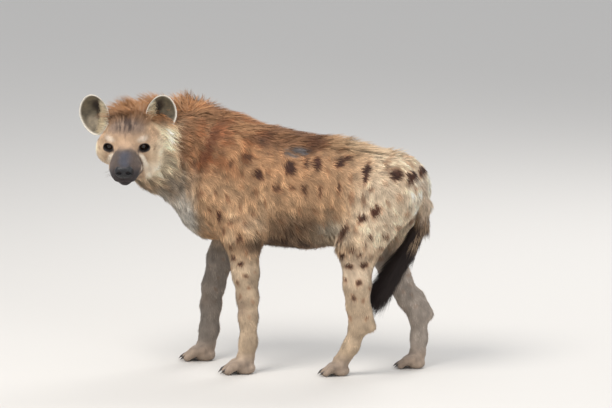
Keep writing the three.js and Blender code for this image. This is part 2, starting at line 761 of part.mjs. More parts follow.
const sockets = {};
const limbs = [];
for (const [name, leg] of Object.entries(LEGS)) {
  const side = Math.sign(leg.paw.at[1]);
  const isFront = name.startsWith("front");
  sockets[name] = socketShape(leg.socket, side, isFront, 0.5);
  const xs = [...leg.lower.map((p) => p[0]), ...leg.upper.map((p) => p[0])];
  const low = [Math.min(...xs) - 130, side < 0 ? -190 : -12, -18];
  const high = [Math.max(...xs) + 115, side < 0 ? 12 : 190, 680];
  const whole = solidOf(simplify(polygonise(hyena, low, high, LEG_STEP), 450));
  let limb = whole.intersect(socketShape(leg.socket, side, isFront, 0)).intersect(FLOOR);
  paws[name].claws.forEach((place, i) => {
    const shape = claw(place);
    limb = limb.subtract(solidOf(swollen(shape, GAP)));
    addNode(`claw_${name}_${i + 1}`, solidOf(shape), "claw");
  });
  limbs.push(limb);
  const { knee, ankle } = leg.joints;
  const [upper, lower, foot] = isFront ? ["upper_arm", "forearm", "forefoot"] : ["thigh", "shank", "hindfoot"];
  const kneeAt = new THREE.Vector3(0, 0, knee);
  const ankleAt = new THREE.Vector3(0, 0, ankle);
  const down = level.clone().negate();
  addNode(`${upper}_${name}`, limb.intersect(ahead(kneeAt, level, GAP / 2)), "coat");
  const shin = limb.intersect(ahead(kneeAt, down, GAP / 2)).intersect(ahead(ankleAt, level, GAP / 2));
  addNode(`${lower}_${name}`, shin, "coat");
  addNode(`${foot}_${name}`, limb.intersect(ahead(ankleAt, down, GAP / 2)), "coat");
}

// Trunk and neck
const neckPlane = { at: new THREE.Vector3(-357, 0, 625), normal: new THREE.Vector3(-0.95, 0, 0.31) };
const headPlane = {
  at: new THREE.Vector3(0, -91, 0).applyMatrix4(headMatrix),
  normal: new THREE.Vector3(0, 0.922, 0.388).transformDirection(headMatrix),
};

function tubeRings(points, sides, flat = 1) {
  const curve = new THREE.CatmullRomCurve3(points.map(([x, y, z]) => new THREE.Vector3(x, y, z)));
  const steps = 12;
  const list = [];
  const faces = [];
  const across = new THREE.Vector3(0, 1, 0);
  for (let i = 0; i <= steps; i++) {
    const centre = curve.getPoint(i / steps);
    const normal = new THREE.Vector3().crossVectors(across, curve.getTangent(i / steps)).normalize();
    const place = (i / steps) * (points.length - 1);
    const k = Math.min(Math.floor(place), points.length - 2);
    const radius = lerp(points[k][3], points[k + 1][3], place - k);
    for (let s = 0; s < sides; s++) {
      const angle = (s / sides) * 2 * Math.PI;
      const ring = across.clone().multiplyScalar(radius * flat * Math.cos(angle));
      list.push(centre.clone().add(ring).addScaledVector(normal, radius * Math.sin(angle)).toArray());
    }
  }
  for (let i = 0; i < steps; i++)
    for (let s = 0; s < sides; s++) {
      const [a, b] = [i * sides + s, i * sides + ((s + 1) % sides)];
      faces.push([a, b + sides, b], [a, a + sides, b + sides]);
    }
  const ends = [curve.getPoint(0), curve.getPoint(1)].map((p) => p.toArray());
  list.push(...ends);
  const [first, last] = [list.length - 2, list.length - 1];
  for (let s = 0; s < sides; s++) {
    const next = (s + 1) % sides;
    faces.push([first, s, next], [last, steps * sides + next, steps * sides + s]);
  }
  return { points: list, faces };
}

const tailMesh = tubeRings(TAIL, 10);
let torso = solidOf(simplify(polygonise(hyena, [-470, -190, 366], [360, 190, 840], TRUNK_STEP), 660));
for (const socket of Object.values(sockets)) torso = torso.subtract(socket);
torso = torso.intersect(ahead(neckPlane.at, neckPlane.normal.clone().negate(), GAP / 2));
torso = torso.subtract(solidOf(swollen(tailMesh, GAP)));

// Hair of the back: x, length, lift in degrees and how far to each side it grows.
const BACK_HAIR = [
  [-300, 64, 17, 46],
  [-180, 60, 15, 44],
  [-60, 58, 16, 38],
  [40, 68, 21, 30],
  [130, 74, 23, 26],
  [200, 64, 19, 24],
  [250, 46, 15, 18],
];
const backLocks = [];
for (let x = -322; x < 246; x += 53) {
  const [length, lift, side] = [1, 2, 3].map((column) => along(BACK_HAIR, x, column));
  const rows = [-0.85, 0, 0.85];
  for (const row of rows) {
    const y = row * side + spread(5);
    const root = onSkin(new THREE.Vector3(x + spread(8), y, 900), new THREE.Vector3(x, y, 500));
    const lie = new THREE.Vector3(1, row * 0.28 + spread(0.12), -0.12);
    const shape = { length: length * (1.15 + spread(0.15)), width: 42 + spread(6), thick: 11, lift: lift + spread(5) };
    const bend = new THREE.Vector3(0.25, row * 0.2, -0.3);
    backLocks.push(lock(root, normalAt(root), lie, { ...shape, bend, roll: spread(0.45) }));
  }
}
// Longer hair that hangs along the belly.
for (let x = -100; x < 100; x += 50)
  for (const row of [-1, 1]) {
    const y = row * 36 + spread(12);
    const root = onSkin(new THREE.Vector3(x + spread(8), y, 300), new THREE.Vector3(x, y, 600));
    const lie = new THREE.Vector3(1, row * 0.2, -0.3);
    const shape = { length: 62 + spread(8), width: 34, thick: 9, lift: 20 + spread(6), roll: spread(0.7) };
    backLocks.push(lock(root, normalAt(root), lie, { ...shape, bend: new THREE.Vector3(0.2, 0, -0.1) }));
  }
torso = torso.add(joined(backLocks));
for (const socket of Object.values(sockets)) torso = torso.subtract(socket);
torso = torso.intersect(ahead(neckPlane.at, neckPlane.normal.clone().negate(), GAP / 2));
addNode("torso", torso, "coat");

// The brush: locks in whorls down the last two thirds of the tail, hanging down and forward.
const tailCurve = new THREE.CatmullRomCurve3(TAIL.map(([x, y, z]) => new THREE.Vector3(x, y, z)));
const brush = [];
const WHORLS = 6;
for (let i = 0; i < WHORLS; i++) {
  const t = lerp(0.46, 0.985, i / (WHORLS - 1));
  const centre = tailCurve.getPoint(t);
  const tangent = tailCurve.getTangent(t);
  const radius = lerp(20, 9, i / (WHORLS - 1));
  const count = 3;
  for (let k = 0; k < count; k++) {
    const angle = ((k + (i % 2) / 2) / count) * 2 * Math.PI + spread(0.25);
    const side = new THREE.Vector3(0, 1, 0);
    const front = new THREE.Vector3().crossVectors(side, tangent).normalize();
    const out = side.multiplyScalar(Math.cos(angle)).addScaledVector(front, Math.sin(angle)).normalize();
    const root = centre.clone().addScaledVector(out, radius);
    const shape = { length: lerp(96, 140, i / (WHORLS - 1)) + spread(12), width: 32, thick: 13, lift: 15 + spread(5) };
    const bend = tangent.clone().multiplyScalar(0.35).addScaledVector(out, -0.12);
    brush.push(lock(root, out, tangent, { ...shape, bend, sink: 9 }));
  }
}
let tail = solidOf(tailMesh).add(joined(brush)).subtract(torso);
for (const limb of limbs) tail = tail.subtract(limb);
addNode("tail", tail, "brush");

let neckSolid = solidOf(simplify(polygonise(hyena, [-640, -260, 400], [-270, 150, 870], TRUNK_STEP), 420));
neckSolid = neckSolid.intersect(ahead(neckPlane.at, neckPlane.normal, GAP / 2));
neckSolid = neckSolid.intersect(ahead(headPlane.at, headPlane.normal.clone().negate(), GAP / 2));

// Mane: rows round the neck from one side over the crest to the other, upright on the crest and leaning
// forward, and lying back and down on the sides.
const neckCurve = new THREE.CatmullRomCurve3(NECK_CREST.map(([x, y, z]) => new THREE.Vector3(x, y, z)));
const maneLocks = [];
const MANE_STATIONS = 7;
for (let i = 0; i < MANE_STATIONS; i++) {
  const t = lerp(0.16, 0.97, i / (MANE_STATIONS - 1));
  const centre = neckCurve.getPoint(t);
  const tangent = neckCurve.getTangent(t);
  const side = new THREE.Vector3().crossVectors(new THREE.Vector3(0, 0, 1), tangent).normalize();
  for (const degrees of [-72, -36, -10, 14, 40, 72]) {
    const angle = THREE.MathUtils.degToRad(degrees + spread(7));
    const out = new THREE.Vector3(0, 0, Math.cos(angle)).addScaledVector(side, Math.sin(angle));
    const place = centre.clone().addScaledVector(tangent, spread(8));
    const root = onSkin(place.clone().addScaledVector(out, 260), place);
    const normal = normalAt(root);
    const crest = Math.cos(angle) ** 3;
    const lie = tangent.clone().multiplyScalar(lerp(-0.9, 0.5, crest)).add(new THREE.Vector3(0, 0, -0.7 + crest));
    const shape = {
      length: lerp(80, 60, crest) + spread(7),
      width: 44 + spread(6),
      thick: 11,
      lift: lerp(13, 27, crest) + spread(4),
      roll: spread(0.45) * crest,
    };
    const bend = new THREE.Vector3(0, 0, lerp(-0.25, 0.1, crest)).addScaledVector(tangent, lerp(-0.3, 0.25, crest));
    maneLocks.push(lock(root, normal, lie, { ...shape, bend }));
  }
}
neckSolid = neckSolid.add(joined(maneLocks));
neckSolid = neckSolid.intersect(ahead(neckPlane.at, neckPlane.normal, GAP / 2));
neckSolid = neckSolid.intersect(ahead(headPlane.at, headPlane.normal.clone().negate(), GAP / 2));
neckSolid = neckSolid.subtract(sockets.front_right).subtract(sockets.front_left);
addNode("neck", neckSolid, "mane");

// Head
const headBox = new THREE.Box3().setFromPoints(
  [-125, 125].flatMap((x) =>
    [-190, 140].flatMap((y) => [-125, 105].map((z) => new THREE.Vector3(x, y, z).applyMatrix4(headMatrix))),
  ),
);
let headSolid = solidOf(simplify(polygonise(hyena, headBox.min.toArray(), headBox.max.toArray(), HEAD_STEP), 1180));
headSolid = headSolid.intersect(ahead(headPlane.at, headPlane.normal, GAP / 2));

function inHead([x, y, z]) {
  return new THREE.Vector3(x, y, z).applyMatrix4(headMatrix).toArray();
}

// Each eye: a ball under two lids, parted by an almond opening that looks ahead and a little outwards.
const LID = 3.2;
for (const [name, sign] of [["left", -1], ["right", 1]]) {
  const at = new THREE.Vector3(sign * EYE[0], EYE[1], EYE[2]).applyMatrix4(headMatrix);
  const sphere = (radius) => meshOf(new THREE.SphereGeometry(radius, 14, 9), new THREE.Matrix4().setPosition(at));
  const gaze = new THREE.Vector3(sign * 0.42, 0.9, 0.03).normalize();
  const across = new THREE.Vector3(gaze.y, -gaze.x, 0).normalize();
  const above = new THREE.Vector3().crossVectors(across, gaze).normalize();
  const outline = [...Array(12).keys()].map((i) => {
    const angle = (i / 12) * 2 * Math.PI;
    return [12.5 * Math.cos(angle), 8.2 * Math.sin(angle) * Math.abs(Math.sin(angle)) ** 0.3];
  });
  const rings = [[3, 0.75], [34, 1.5]].map(([depth, grow]) =>
    outline.map(([u, v]) => {
      const place = new THREE.Vector3(sign * EYE[0], EYE[1], EYE[2]).addScaledVector(gaze, depth);
      place.addScaledVector(across, u * grow).addScaledVector(above, v * grow - sign * u * 0.1 * grow);
      return place.applyMatrix4(headMatrix).toArray();
    }),
  );
  headSolid = headSolid.add(solidOf(sphere(EYE_RADIUS + LID))).subtract(solidOf(sphere(EYE_RADIUS + GAP)));
  headSolid = headSolid.subtract(solidOf(loft(rings)));
  addNode(`eye_${name}`, solidOf(sphere(EYE_RADIUS)), "eye");
}

// The nose pad, with two nostrils open to its front and sides.
const NOSE = { at: [0, 112, -38], size: [29, 17, 20] };
function nosePad(extra) {
  const scale = new THREE.Vector3(...NOSE.size).addScalar(extra);
  const local = new THREE.Matrix4().compose(
    new THREE.Vector3(...NOSE.at),
    new THREE.Quaternion().setFromEuler(new THREE.Euler(0.25, 0, 0)),
    scale,
  );
  return solidOf(meshOf(new THREE.SphereGeometry(1, 14, 9), headMatrix.clone().multiply(local)));
}
let nose = nosePad(0);
headSolid = headSolid.subtract(nosePad(GAP));
for (const sign of [-1, 1]) {
  const local = new THREE.Matrix4().compose(
    new THREE.Vector3(sign * 12.5, 124, -37),
    new THREE.Quaternion().setFromEuler(new THREE.Euler(0.3, sign * 0.5, -sign * 0.5)),
    new THREE.Vector3(6.8, 11, 4.6),
  );
  nose = nose.subtract(solidOf(meshOf(new THREE.SphereGeometry(1, 8, 6), headMatrix.clone().multiply(local))));
}
addNode("nose", nose, "nose");

// The line of the mouth: a thin groove round the muzzle between the lips, from corner to corner.
const MOUTH = [
  [52, 30, -66],
  [46, 52, -73],
  [40, 78, -76],
  [28, 103, -75],
  [0, 114, -67],
];
const mouthLine = new THREE.CatmullRomCurve3(
  [...MOUTH, ...MOUTH.slice(0, -1).reverse().map(([x, y, z]) => [-x, y, z])].map((p) => new THREE.Vector3(...p)),
);
const mouthRings = [...Array(17).keys()].map((i) => {
  const place = mouthLine.getPoint(i / 16);
  const tangent = mouthLine.getTangent(i / 16);
  const outward = new THREE.Vector3(tangent.y, -tangent.x, 0).normalize().negate();
  const section = [[-16, 0], [12, -1.7], [12, 1.7]];
  return section.map(([u, v]) => inHead(place.clone().addScaledVector(outward, u).add({ x: 0, y: 0, z: v }).toArray()));
});
headSolid = headSolid.subtract(solidOf(loft(mouthRings)));

// An ear: a thin oval cup, its rim forward, its root sunk in the head.
function ear(sign, extra) {
  const plate = new THREE.SphereGeometry(1, 18, 8).rotateX(Math.PI / 2);
  const { points, faces } = meshOf(plate);
  const cupped = points.map(([x, y, z]) => {
    const rim = Math.hypot(x, z);
    const wide = x * (EAR_WIDTH / 2 + extra) * (z < 0 ? 1 + 0.12 * z : 1 - 0.1 * z * z);
    const cup = 26 * (rim * rim - 1) + 8 * x;
    return [sign * wide, cup + y * (5 + 3 * extra), z * (EAR_HEIGHT / 2 + extra)];
  });
  const place = new THREE.Matrix4()
    .makeTranslation(sign * 104, -78, 72)
    .multiply(new THREE.Matrix4().makeRotationY(sign * THREE.MathUtils.degToRad(6)))
    .multiply(new THREE.Matrix4().makeRotationZ(-sign * THREE.MathUtils.degToRad(22)));
  const matrix = headMatrix.clone().multiply(place);
  return {
    points: cupped.map((p) => new THREE.Vector3(...p).applyMatrix4(matrix).toArray()),
    faces,
  };
}

for (const [name, sign] of [["left", -1], ["right", 1]]) {
  headSolid = headSolid.subtract(solidOf(ear(sign, 2 * GAP)));
  addNode(`ear_${name}`, solidOf(ear(sign, 0)).subtract(headSolid), "ear");
}

// The tuft on the crown, between and behind the ears.
const crown = [];
for (const [x, y] of [[-32, -62], [-10, -56], [12, -58], [34, -62], [-20, -80], [16, -80]]) {
  const above = new THREE.Vector3(...inHead([x, y, 220]));
  const root = onSkin(above, new THREE.Vector3(...inHead([x, y, 0])));
  const lie = new THREE.Vector3(x * 0.012, 0.25, 0.2).transformDirection(headMatrix);
  const bend = new THREE.Vector3(0, 0.1, 0.2).transformDirection(headMatrix);
  const shape = { length: 46 + spread(6), width: 34, thick: 11, lift: 54 + spread(6), roll: spread(0.4), bend };
  crown.push(lock(root, normalAt(root), lie, shape));
}
headSolid = headSolid.add(joined(crown)).intersect(ahead(headPlane.at, headPlane.normal, GAP / 2));
for (const sign of [-1, 1]) headSolid = headSolid.subtract(solidOf(ear(sign, 2 * GAP)));
addNode("head", headSolid, "face");

// The origin is under the middle of the whole outline, on the floor.
hyenaGroup.updateMatrixWorld(true);
const middle = new THREE.Box3().setFromObject(hyenaGroup).getCenter(new THREE.Vector3());
hyenaGroup.position.set(-middle.x, -middle.y, 0);

export default hyenaGroup;
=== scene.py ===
# A spotted hyena standing on a pale floor, in the pose of the photograph.
# The body is worked out in millimetres in a frame of its own: -X is forwards, -Y is the animal's left.
import math
import bpy
import numpy as np
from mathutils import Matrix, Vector


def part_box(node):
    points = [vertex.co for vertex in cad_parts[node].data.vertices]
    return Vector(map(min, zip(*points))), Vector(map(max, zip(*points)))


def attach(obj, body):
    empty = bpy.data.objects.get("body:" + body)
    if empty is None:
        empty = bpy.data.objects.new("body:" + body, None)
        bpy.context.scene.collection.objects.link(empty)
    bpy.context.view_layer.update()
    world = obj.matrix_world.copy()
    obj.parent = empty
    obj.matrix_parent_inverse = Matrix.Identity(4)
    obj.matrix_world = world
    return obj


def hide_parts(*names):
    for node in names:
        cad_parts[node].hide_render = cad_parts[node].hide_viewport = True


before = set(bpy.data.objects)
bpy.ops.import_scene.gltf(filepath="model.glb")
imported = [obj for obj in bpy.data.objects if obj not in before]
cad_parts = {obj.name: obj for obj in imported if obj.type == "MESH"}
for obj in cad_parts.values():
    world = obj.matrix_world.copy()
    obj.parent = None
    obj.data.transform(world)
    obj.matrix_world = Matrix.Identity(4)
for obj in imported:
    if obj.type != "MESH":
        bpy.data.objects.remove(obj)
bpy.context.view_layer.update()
MM = 0.001
FLOOR_GAP = 0.4
SIDES = (("left", -1), ("right", 1))

# Head, with its own axes: right, forward and up from the point between the eyes
EYE_RADIUS = 13.5
EYE_SPACING = 98
EYE_FORWARD = -5
EAR_HEIGHT = 138
EAR_WIDTH = 96
HEAD_YAW = math.radians(8)
HEAD_PITCH = math.radians(15)
HEAD_AT = np.array([-558.0, -200.0, 722.0])
FORWARD = np.array([
    math.sin(HEAD_YAW) * math.cos(HEAD_PITCH),
    -math.cos(HEAD_YAW) * math.cos(HEAD_PITCH),
    -math.sin(HEAD_PITCH),
])
RIGHT = np.array([-math.cos(HEAD_YAW), -math.sin(HEAD_YAW), 0.0])
UP = np.cross(RIGHT, FORWARD)
HEAD_AXES = np.array([RIGHT, FORWARD, UP])


def from_head(points):
    return np.asarray(points, float) @ HEAD_AXES + HEAD_AT


def to_head(points):
    return (points - HEAD_AT) @ HEAD_AXES.T


def eye_centre(sign):
    return np.array([sign * EYE_SPACING / 2, EYE_FORWARD, 0])


EYES = {side: from_head(eye_centre(sign)) for side, sign in SIDES}

# The row's origin lies elsewhere, so one eye gives the shift between the two frames.
eye_low, eye_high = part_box("eye_left")
SHIFT = (np.array(eye_low) + np.array(eye_high)) / 2 - EYES["left"] * MM
SHIFT[2] = 0.0


def metres(points):
    return np.asarray(points, float) * MM + SHIFT


# Trunk sections: x, height of the back, height of the belly, half width
TRUNK = np.array([
    [-330, 792, 440, 92],
    [-255, 786, 408, 114],
    [-150, 768, 396, 124],
    [-40, 746, 388, 125],
    [60, 733, 400, 117],
    [150, 711, 432, 106],
    [230, 670, 470, 96],
], float)

# Chains of tapered lengths, each point x, y, z and radius
NECK_CREST = [(-290, 0, 702, 94), (-405, -10, 742, 84), (-495, -55, 750, 77), (-545, -100, 752, 71)]
NECK_THROAT = [(-334, 0, 540, 110), (-392, -5, 604, 98), (-487, -65, 662, 88), (-540, -120, 690, 68)]
TAIL = [
    (276, 0, 606, 34),
    (317, 0, 576, 28),
    (342, 0, 530, 24),
    (337, 0, 478, 20),
    (306, 0, 415, 17),
    (266, 0, 352, 14),
    (228, 0, 290, 9),
]
LEGS = {
    "front_left": {
        "girdle": ((-265, -76, 640), (80, 48, 125)),
        "upper": [(-305, -84, 548, 62), (-214, -102, 446, 62)],
        "lower": [(-213, -105, 436, 61), (-203, -104, 320, 43), (-197, -102, 240, 34),
                  (-195, -101, 178, 30), (-195, -100, 100, 28), (-204, -100, 50, 30)],
        "heel": [(-214, -104, 470, 40), (-168, -105, 456, 24)],
        "flat": 0.82,
        "paw": (-204, -102, -4, 1.0),
    },
    "front_right": {
        "girdle": ((-285, 76, 636), (80, 48, 122)),
        "upper": [(-330, 84, 542, 62), (-278, 100, 442, 60)],
        "lower": [(-282, 101, 432, 58), (-322, 98, 330, 44), (-345, 94, 240, 36),
                  (-353, 92, 178, 33), (-358, 90, 100, 31), (-368, 88, 50, 32)],
        "heel": [(-275, 101, 466, 40), (-236, 101, 450, 24)],
        "flat": 0.82,
        "paw": (-369, 84, 3, 1.0),
    },
    "hind_left": {
        "girdle": ((236, -66, 590), (100, 46, 92)),
        "upper": [(246, -80, 560, 88), (158, -97, 425, 70)],
        "lower": [(150, -99, 398, 62), (148, -97, 290, 43), (150, -94, 225, 36),
                  (154, -92, 165, 31), (128, -88, 95, 25), (96, -84, 46, 27)],
        "heel": [(172, -93, 205, 22), (191, -92, 160, 19)],
        "flat": 0.7,
        "paw": (95, -80, -3, 0.86),
    },
    "hind_right": {
        "girdle": ((246, 66, 590), (96, 46, 92)),
        "upper": [(258, 80, 556, 88), (200, 97, 425, 70)],
        "lower": [(192, 99, 402, 62), (240, 96, 288, 46), (285, 94, 216, 37),
                  (314, 92, 166, 31), (316, 88, 95, 26), (312, 84, 46, 28)],
        "heel": [(312, 93, 222, 22), (344, 92, 172, 19)],
        "flat": 0.7,
        "paw": (310, 76, 5, 0.86),
    },
}
TOES = ((-34, 0.82), (-12.5, 1), (12.5, 1), (34, 0.82))


# Rows of values
def rows_of(*parts):
    return np.column_stack(np.broadcast_arrays(*parts))


def lattice(*steps):
    """Every combination of the steps, one row each."""
    return np.stack(np.meshgrid(*steps, indexing="ij"), -1).reshape(-1, len(steps))


def mirrored(q):
    return rows_of(np.abs(q[:, 0]), q[:, 1], q[:, 2])


def length_of(v):
    return np.linalg.norm(v, axis=1)


def unit(v):
    return v / (length_of(v)[:, None] + 1e-9)


def ramp(value, start, end):
    """0 at the start and 1 at the end, smooth at both."""
    t = np.clip((value - start) / (end - start), 0, 1)
    return t * t * (3 - 2 * t)


# Distance functions over arrays of points
def smooth_min(a, b, blend):
    h = np.maximum(blend - np.abs(a - b), 0) / blend
    return np.minimum(a, b) - h * h * blend / 4


def smooth_max(a, b, blend):
    return -smooth_min(-a, -b, blend)


def joined(d, *more):
    """Blends further forms into the first, each over the width that is named with it."""
    for form, blend in more:
        d = smooth_min(d, form, blend)
    return d


def taper(p, a, b, flat=1.0):
    scale = np.array([1, 1 / flat, 1])
    start = np.array(a[:3], float) * scale
    line = np.array(b[:3], float) * scale - start
    q = p * scale - start
    t = np.clip(q @ line / (line @ line), 0, 1)
    return (length_of(q - t[:, None] * line) - (a[3] + t * (b[3] - a[3]))) * flat


def ellipsoid(p, centre, radii):
    q = (p - np.array(centre, float)) / np.array(radii, float)
    k0 = length_of(q) + 1e-9
    k1 = length_of(q / np.array(radii, float)) + 1e-9
    return k0 * (k0 - 1) / k1


def chain(p, points, blend, flat=1.0):
    return joined(
        taper(p, points[0], points[1], flat),
        *[(taper(p, a, b, flat), blend) for a, b in zip(points[1:-1], points[2:])])


def along(rows, x, column):
    last = len(rows) - 1
    k = np.clip(np.searchsorted(rows[:, 0], x, side="right") - 1, 0, last - 1)
    t = np.clip((x - rows[k, 0]) / (rows[k + 1, 0] - rows[k, 0]), 0, 1)
    a, b, c, d = [rows[np.clip(k + i, 0, last), column] for i in (-1, 0, 1, 2)]
    return b + 0.5 * t * (c - a + t * (2 * a - 5 * b + 4 * c - d + t * (3 * (b - c) + d - a)))


def trunk(p):
    x = p[:, 0]
    top, belly, width = [along(TRUNK, x, column) for column in (1, 2, 3)]
    half = (top - belly) / 2
    u = p[:, 1] / width
    v = (p[:, 2] - (top + belly) / 2) / half
    rho = np.hypot(u, v) + 1e-6
    slope = np.hypot(u / width, v / half) / rho + 1e-6
    ends = np.maximum(TRUNK[0, 0] - x, x - TRUNK[-1, 0])
    return np.maximum((rho - 1) / slope, ends)


def trunk_share(p):
    """Height on the trunk, 0 at the belly and 1 at the back."""
    x = np.clip(p[:, 0], TRUNK[0, 0], TRUNK[-1, 0])
    top, belly = along(TRUNK, x, 1), along(TRUNK, x, 2)
    return (p[:, 2] - belly) / (top - belly)


def paw(p, place):
    at_x, at_y, turn, size = place
    c = math.cos(math.radians(turn))
    s = math.sin(math.radians(turn))

    def put(forward, side, up, radius):
        x = at_x - size * (forward * c - side * s)
        y = at_y + size * (forward * s + side * c)
        return (x, y, size * up, size * radius)

    d = ellipsoid(p, put(2, 0, 17, 0)[:3], (34 * size, 33 * size, 22 * size))
    for side, reach in TOES:
        root = put(4, side * 0.62, 38, 17)
        knuckle = put(36 * reach, side * 0.96, 29, 14.5)
        tip = put(62 * reach, side * 1.06, 11.5, 12.2)
        d = joined(d, (taper(p, root, knuckle), 9), (taper(p, knuckle, tip), 7))
    return d


def limb(p, leg):
    return joined(
        ellipsoid(p, *leg["girdle"]),
        (chain(p, leg["upper"], 30, leg["flat"]), 44),
        (chain(p, leg["lower"], 16, leg["flat"]), 26),
        (chain(p, leg["heel"], 10, leg["flat"]), 16))


def head(q):
    paired = mirrored(q)
    return joined(
        ellipsoid(q, (0, -72, 14), (70, 84, 64)),
        (ellipsoid(q, (0, -20, 22), (60, 44, 40)), 30),
        (taper(q, (0, 4, -22, 44), (0, 74, -36, 38)), 26),
        (taper(q, (0, 40, -8, 26), (0, 100, -26, 20)), 22),
        (taper(q, (0, -30, -62, 52), (0, 84, -72, 22)), 24),
        (ellipsoid(paired, (57, -36, -24), (41, 46, 47)), 26),
        (ellipsoid(paired, (40, -10, 20), (24, 20, 13)), 14),
        (taper(paired, (26, 58, -46, 27), (20, 92, -50, 24)), 14),
        (length_of(paired - eye_centre(1)) - EYE_RADIUS, 14))


def rump(p):
    return joined(ellipsoid(p, (216, 0, 578), (106, 92, 97)), (ellipsoid(p, (274, 0, 574), (50, 44, 44)), 40))


def neck(p):
    return joined(
        chain(p, NECK_CREST, 30), (chain(p, NECK_THROAT, 30), 60),
        (ellipsoid(p, (-332, 0, 545), (95, 92, 130)), 50))


def body(p):
    x, y, z = p.T
    d = joined(trunk(p), (rump(p), 60), (neck(p), 60))
    for name, leg in LEGS.items():
        side = -1 if name.endswith("left") else 1
        near = (np.abs(x - leg["girdle"][0][0]) < 330) & (y * side > -60)
        d[near] = smooth_min(d[near], limb(p[near], leg), 46)
        low = near & (z < 120)
        d[low] = smooth_min(d[low], paw(p[low], leg["paw"]), 12)
    front = (x < -360) & (z > 500)
    d[front] = smooth_min(d[front], head(to_head(p[front])), 34)
    back = (x > 150) & (z > 250) & (z < 680)
    d[back] = smooth_min(d[back], chain(p[back], TAIL, 14), 16)
    return d


def head_share(q, start=1.06, end=0.9):
    """1 on the face and muzzle and 0 on the neck, from places in the head's own axes."""
    reach = np.where(q[:, 1] > -4, 190, 128)
    r = np.sqrt((q[:, 0] / 118) ** 2 + ((q[:, 1] + 4) / reach) ** 2 + ((q[:, 2] + 18) / 112) ** 2)
    return ramp(r, start, end) * ramp(q[:, 1], -96, -62)


# How far the bare skin lies under the outline of the coat
def coat_depth(p):
    in_head = head_share(to_head(p), 1.15, 0.8)
    in_leg = ramp(p[:, 2], 430, 250)
    depth = 4.0 * (1 - in_leg) + 2.0 * in_leg
    depth = depth * (1 - in_head) + 1.2 * in_head
    return np.where(p[:, 2] < 60, np.minimum(depth, 1.0), depth)


def skin_field(p):
    return body(p) + coat_depth(p)


def in_pieces(field, p, count=150000):
    return np.concatenate([field(p[i:i + count]) for i in range(0, len(p), count)]) if len(p) else np.zeros(0)


def gradient(field, p):
    return rows_of(*[(in_pieces(field, p + step) - in_pieces(field, p - step)) / 2 for step in np.eye(3)])


def moved_to(field, p, depth=0.0, steps=1):
    """Moves places to the surface of a field, or to a depth under it."""
    for _ in range(steps):
        g = gradient(field, p)
        p = p - g * ((in_pieces(field, p) + depth) / (np.sum(g * g, 1) + 1e-6))[:, None]
    return p


# Grid values of a field, exact near its surface and rough elsewhere
def sampled(field, low, count, step):
    block = 4
    blocks = [math.ceil(n / block) for n in count]
    corner = lattice(*[np.arange(b) * block for b in blocks])
    middle = in_pieces(field, low + (corner + 1.5) * step)
    values = middle.reshape(blocks).astype(np.float32)
    for axis in range(3):
        values = np.repeat(values, block, axis)
    near = corner[np.abs(middle) < block * step * 1.8]
    cells = (near[:, None] + lattice(*[np.arange(block)] * 3)[None]).reshape(-1, 3)
    values[tuple(cells.T)] = in_pieces(field, low + cells * step)
    return values[:count[0], :count[1], :count[2]]


# Surface nets: one vertex in each cell that the surface crosses, one quad round each crossed edge
def surface_net(field, low, high, step):
    low = np.array(low, float)
    count = [math.ceil((h - l) / step) + 1 for l, h in zip(low, high)]
    values = sampled(field, low, count, step)
    inside = values < 0
    corners = lattice([0, 1], [0, 1], [0, 1])
    cells = [n - 1 for n in count]
    total = np.zeros(cells, np.int8)
    for c in corners:
        total += inside[c[0]:c[0] + cells[0], c[1]:c[1] + cells[1], c[2]:c[2] + cells[2]]
    active = np.argwhere((total > 0) & (total < 8))
    number = np.full(cells, -1, np.int32)
    number[tuple(active.T)] = np.arange(len(active))
    v = np.stack([values[tuple((active + c).T)] for c in corners], 1)
    place = np.zeros((len(active), 3))
    crossings = np.zeros(len(active))
    for i in range(8):
        for j in range(i + 1, 8):
            if np.abs(corners[i] - corners[j]).sum() != 1:
                continue
            crossed = (v[:, i] < 0) != (v[:, j] < 0)
            t = np.where(crossed, v[:, i] / np.where(crossed, v[:, i] - v[:, j], 1), 0)
            point = corners[i] + t[:, None] * (corners[j] - corners[i])
            place += point * crossed[:, None]
            crossings += crossed
    vertices = low + (active + place / crossings[:, None]) * step
    quads = []
    for axis, a, b in ((0, 1, 2), (1, 2, 0), (2, 0, 1)):
        first = inside.take(range(count[axis] - 1), axis)
        second = inside.take(range(1, count[axis]), axis)
        edges = np.argwhere(first != second)
        for other in (a, b):
            edges = edges[(edges[:, other] > 0) & (edges[:, other] < count[other] - 1)]
        out = first[tuple(edges.T)]
        ring = []
        for da, db in ((0, 0), (1, 0), (1, 1), (0, 1)):
            cell = edges.copy()
            cell[:, a] -= da
            cell[:, b] -= db
            ring.append(number[tuple(cell.T)])
        quad = np.stack(ring, 1)
        quad[~out] = quad[~out][:, ::-1]
        quads.append(quad)
    return vertices, np.concatenate(quads)


def vertex_normals(vertices, triangles):
    a, b, c = [vertices[triangles[:, i]] for i in range(3)]
    n = np.cross(b - a, c - a)
    normals = np.zeros_like(vertices)
    for i in range(3):
        np.add.at(normals, triangles[:, i], n)
    return unit(normals)


def triangles_of(quads):
    return np.concatenate([quads[:, [0, 1, 2]], quads[:, [0, 2, 3]]])


def ring_quads(rings, columns):
    """Quads between one closed ring of points and the next."""
    i, k = lattice(np.arange(rings), np.arange(columns)).T
    a = i * columns + k
    b = i * columns + (k + 1) % columns
    return rows_of(a, a + columns, b + columns, b)


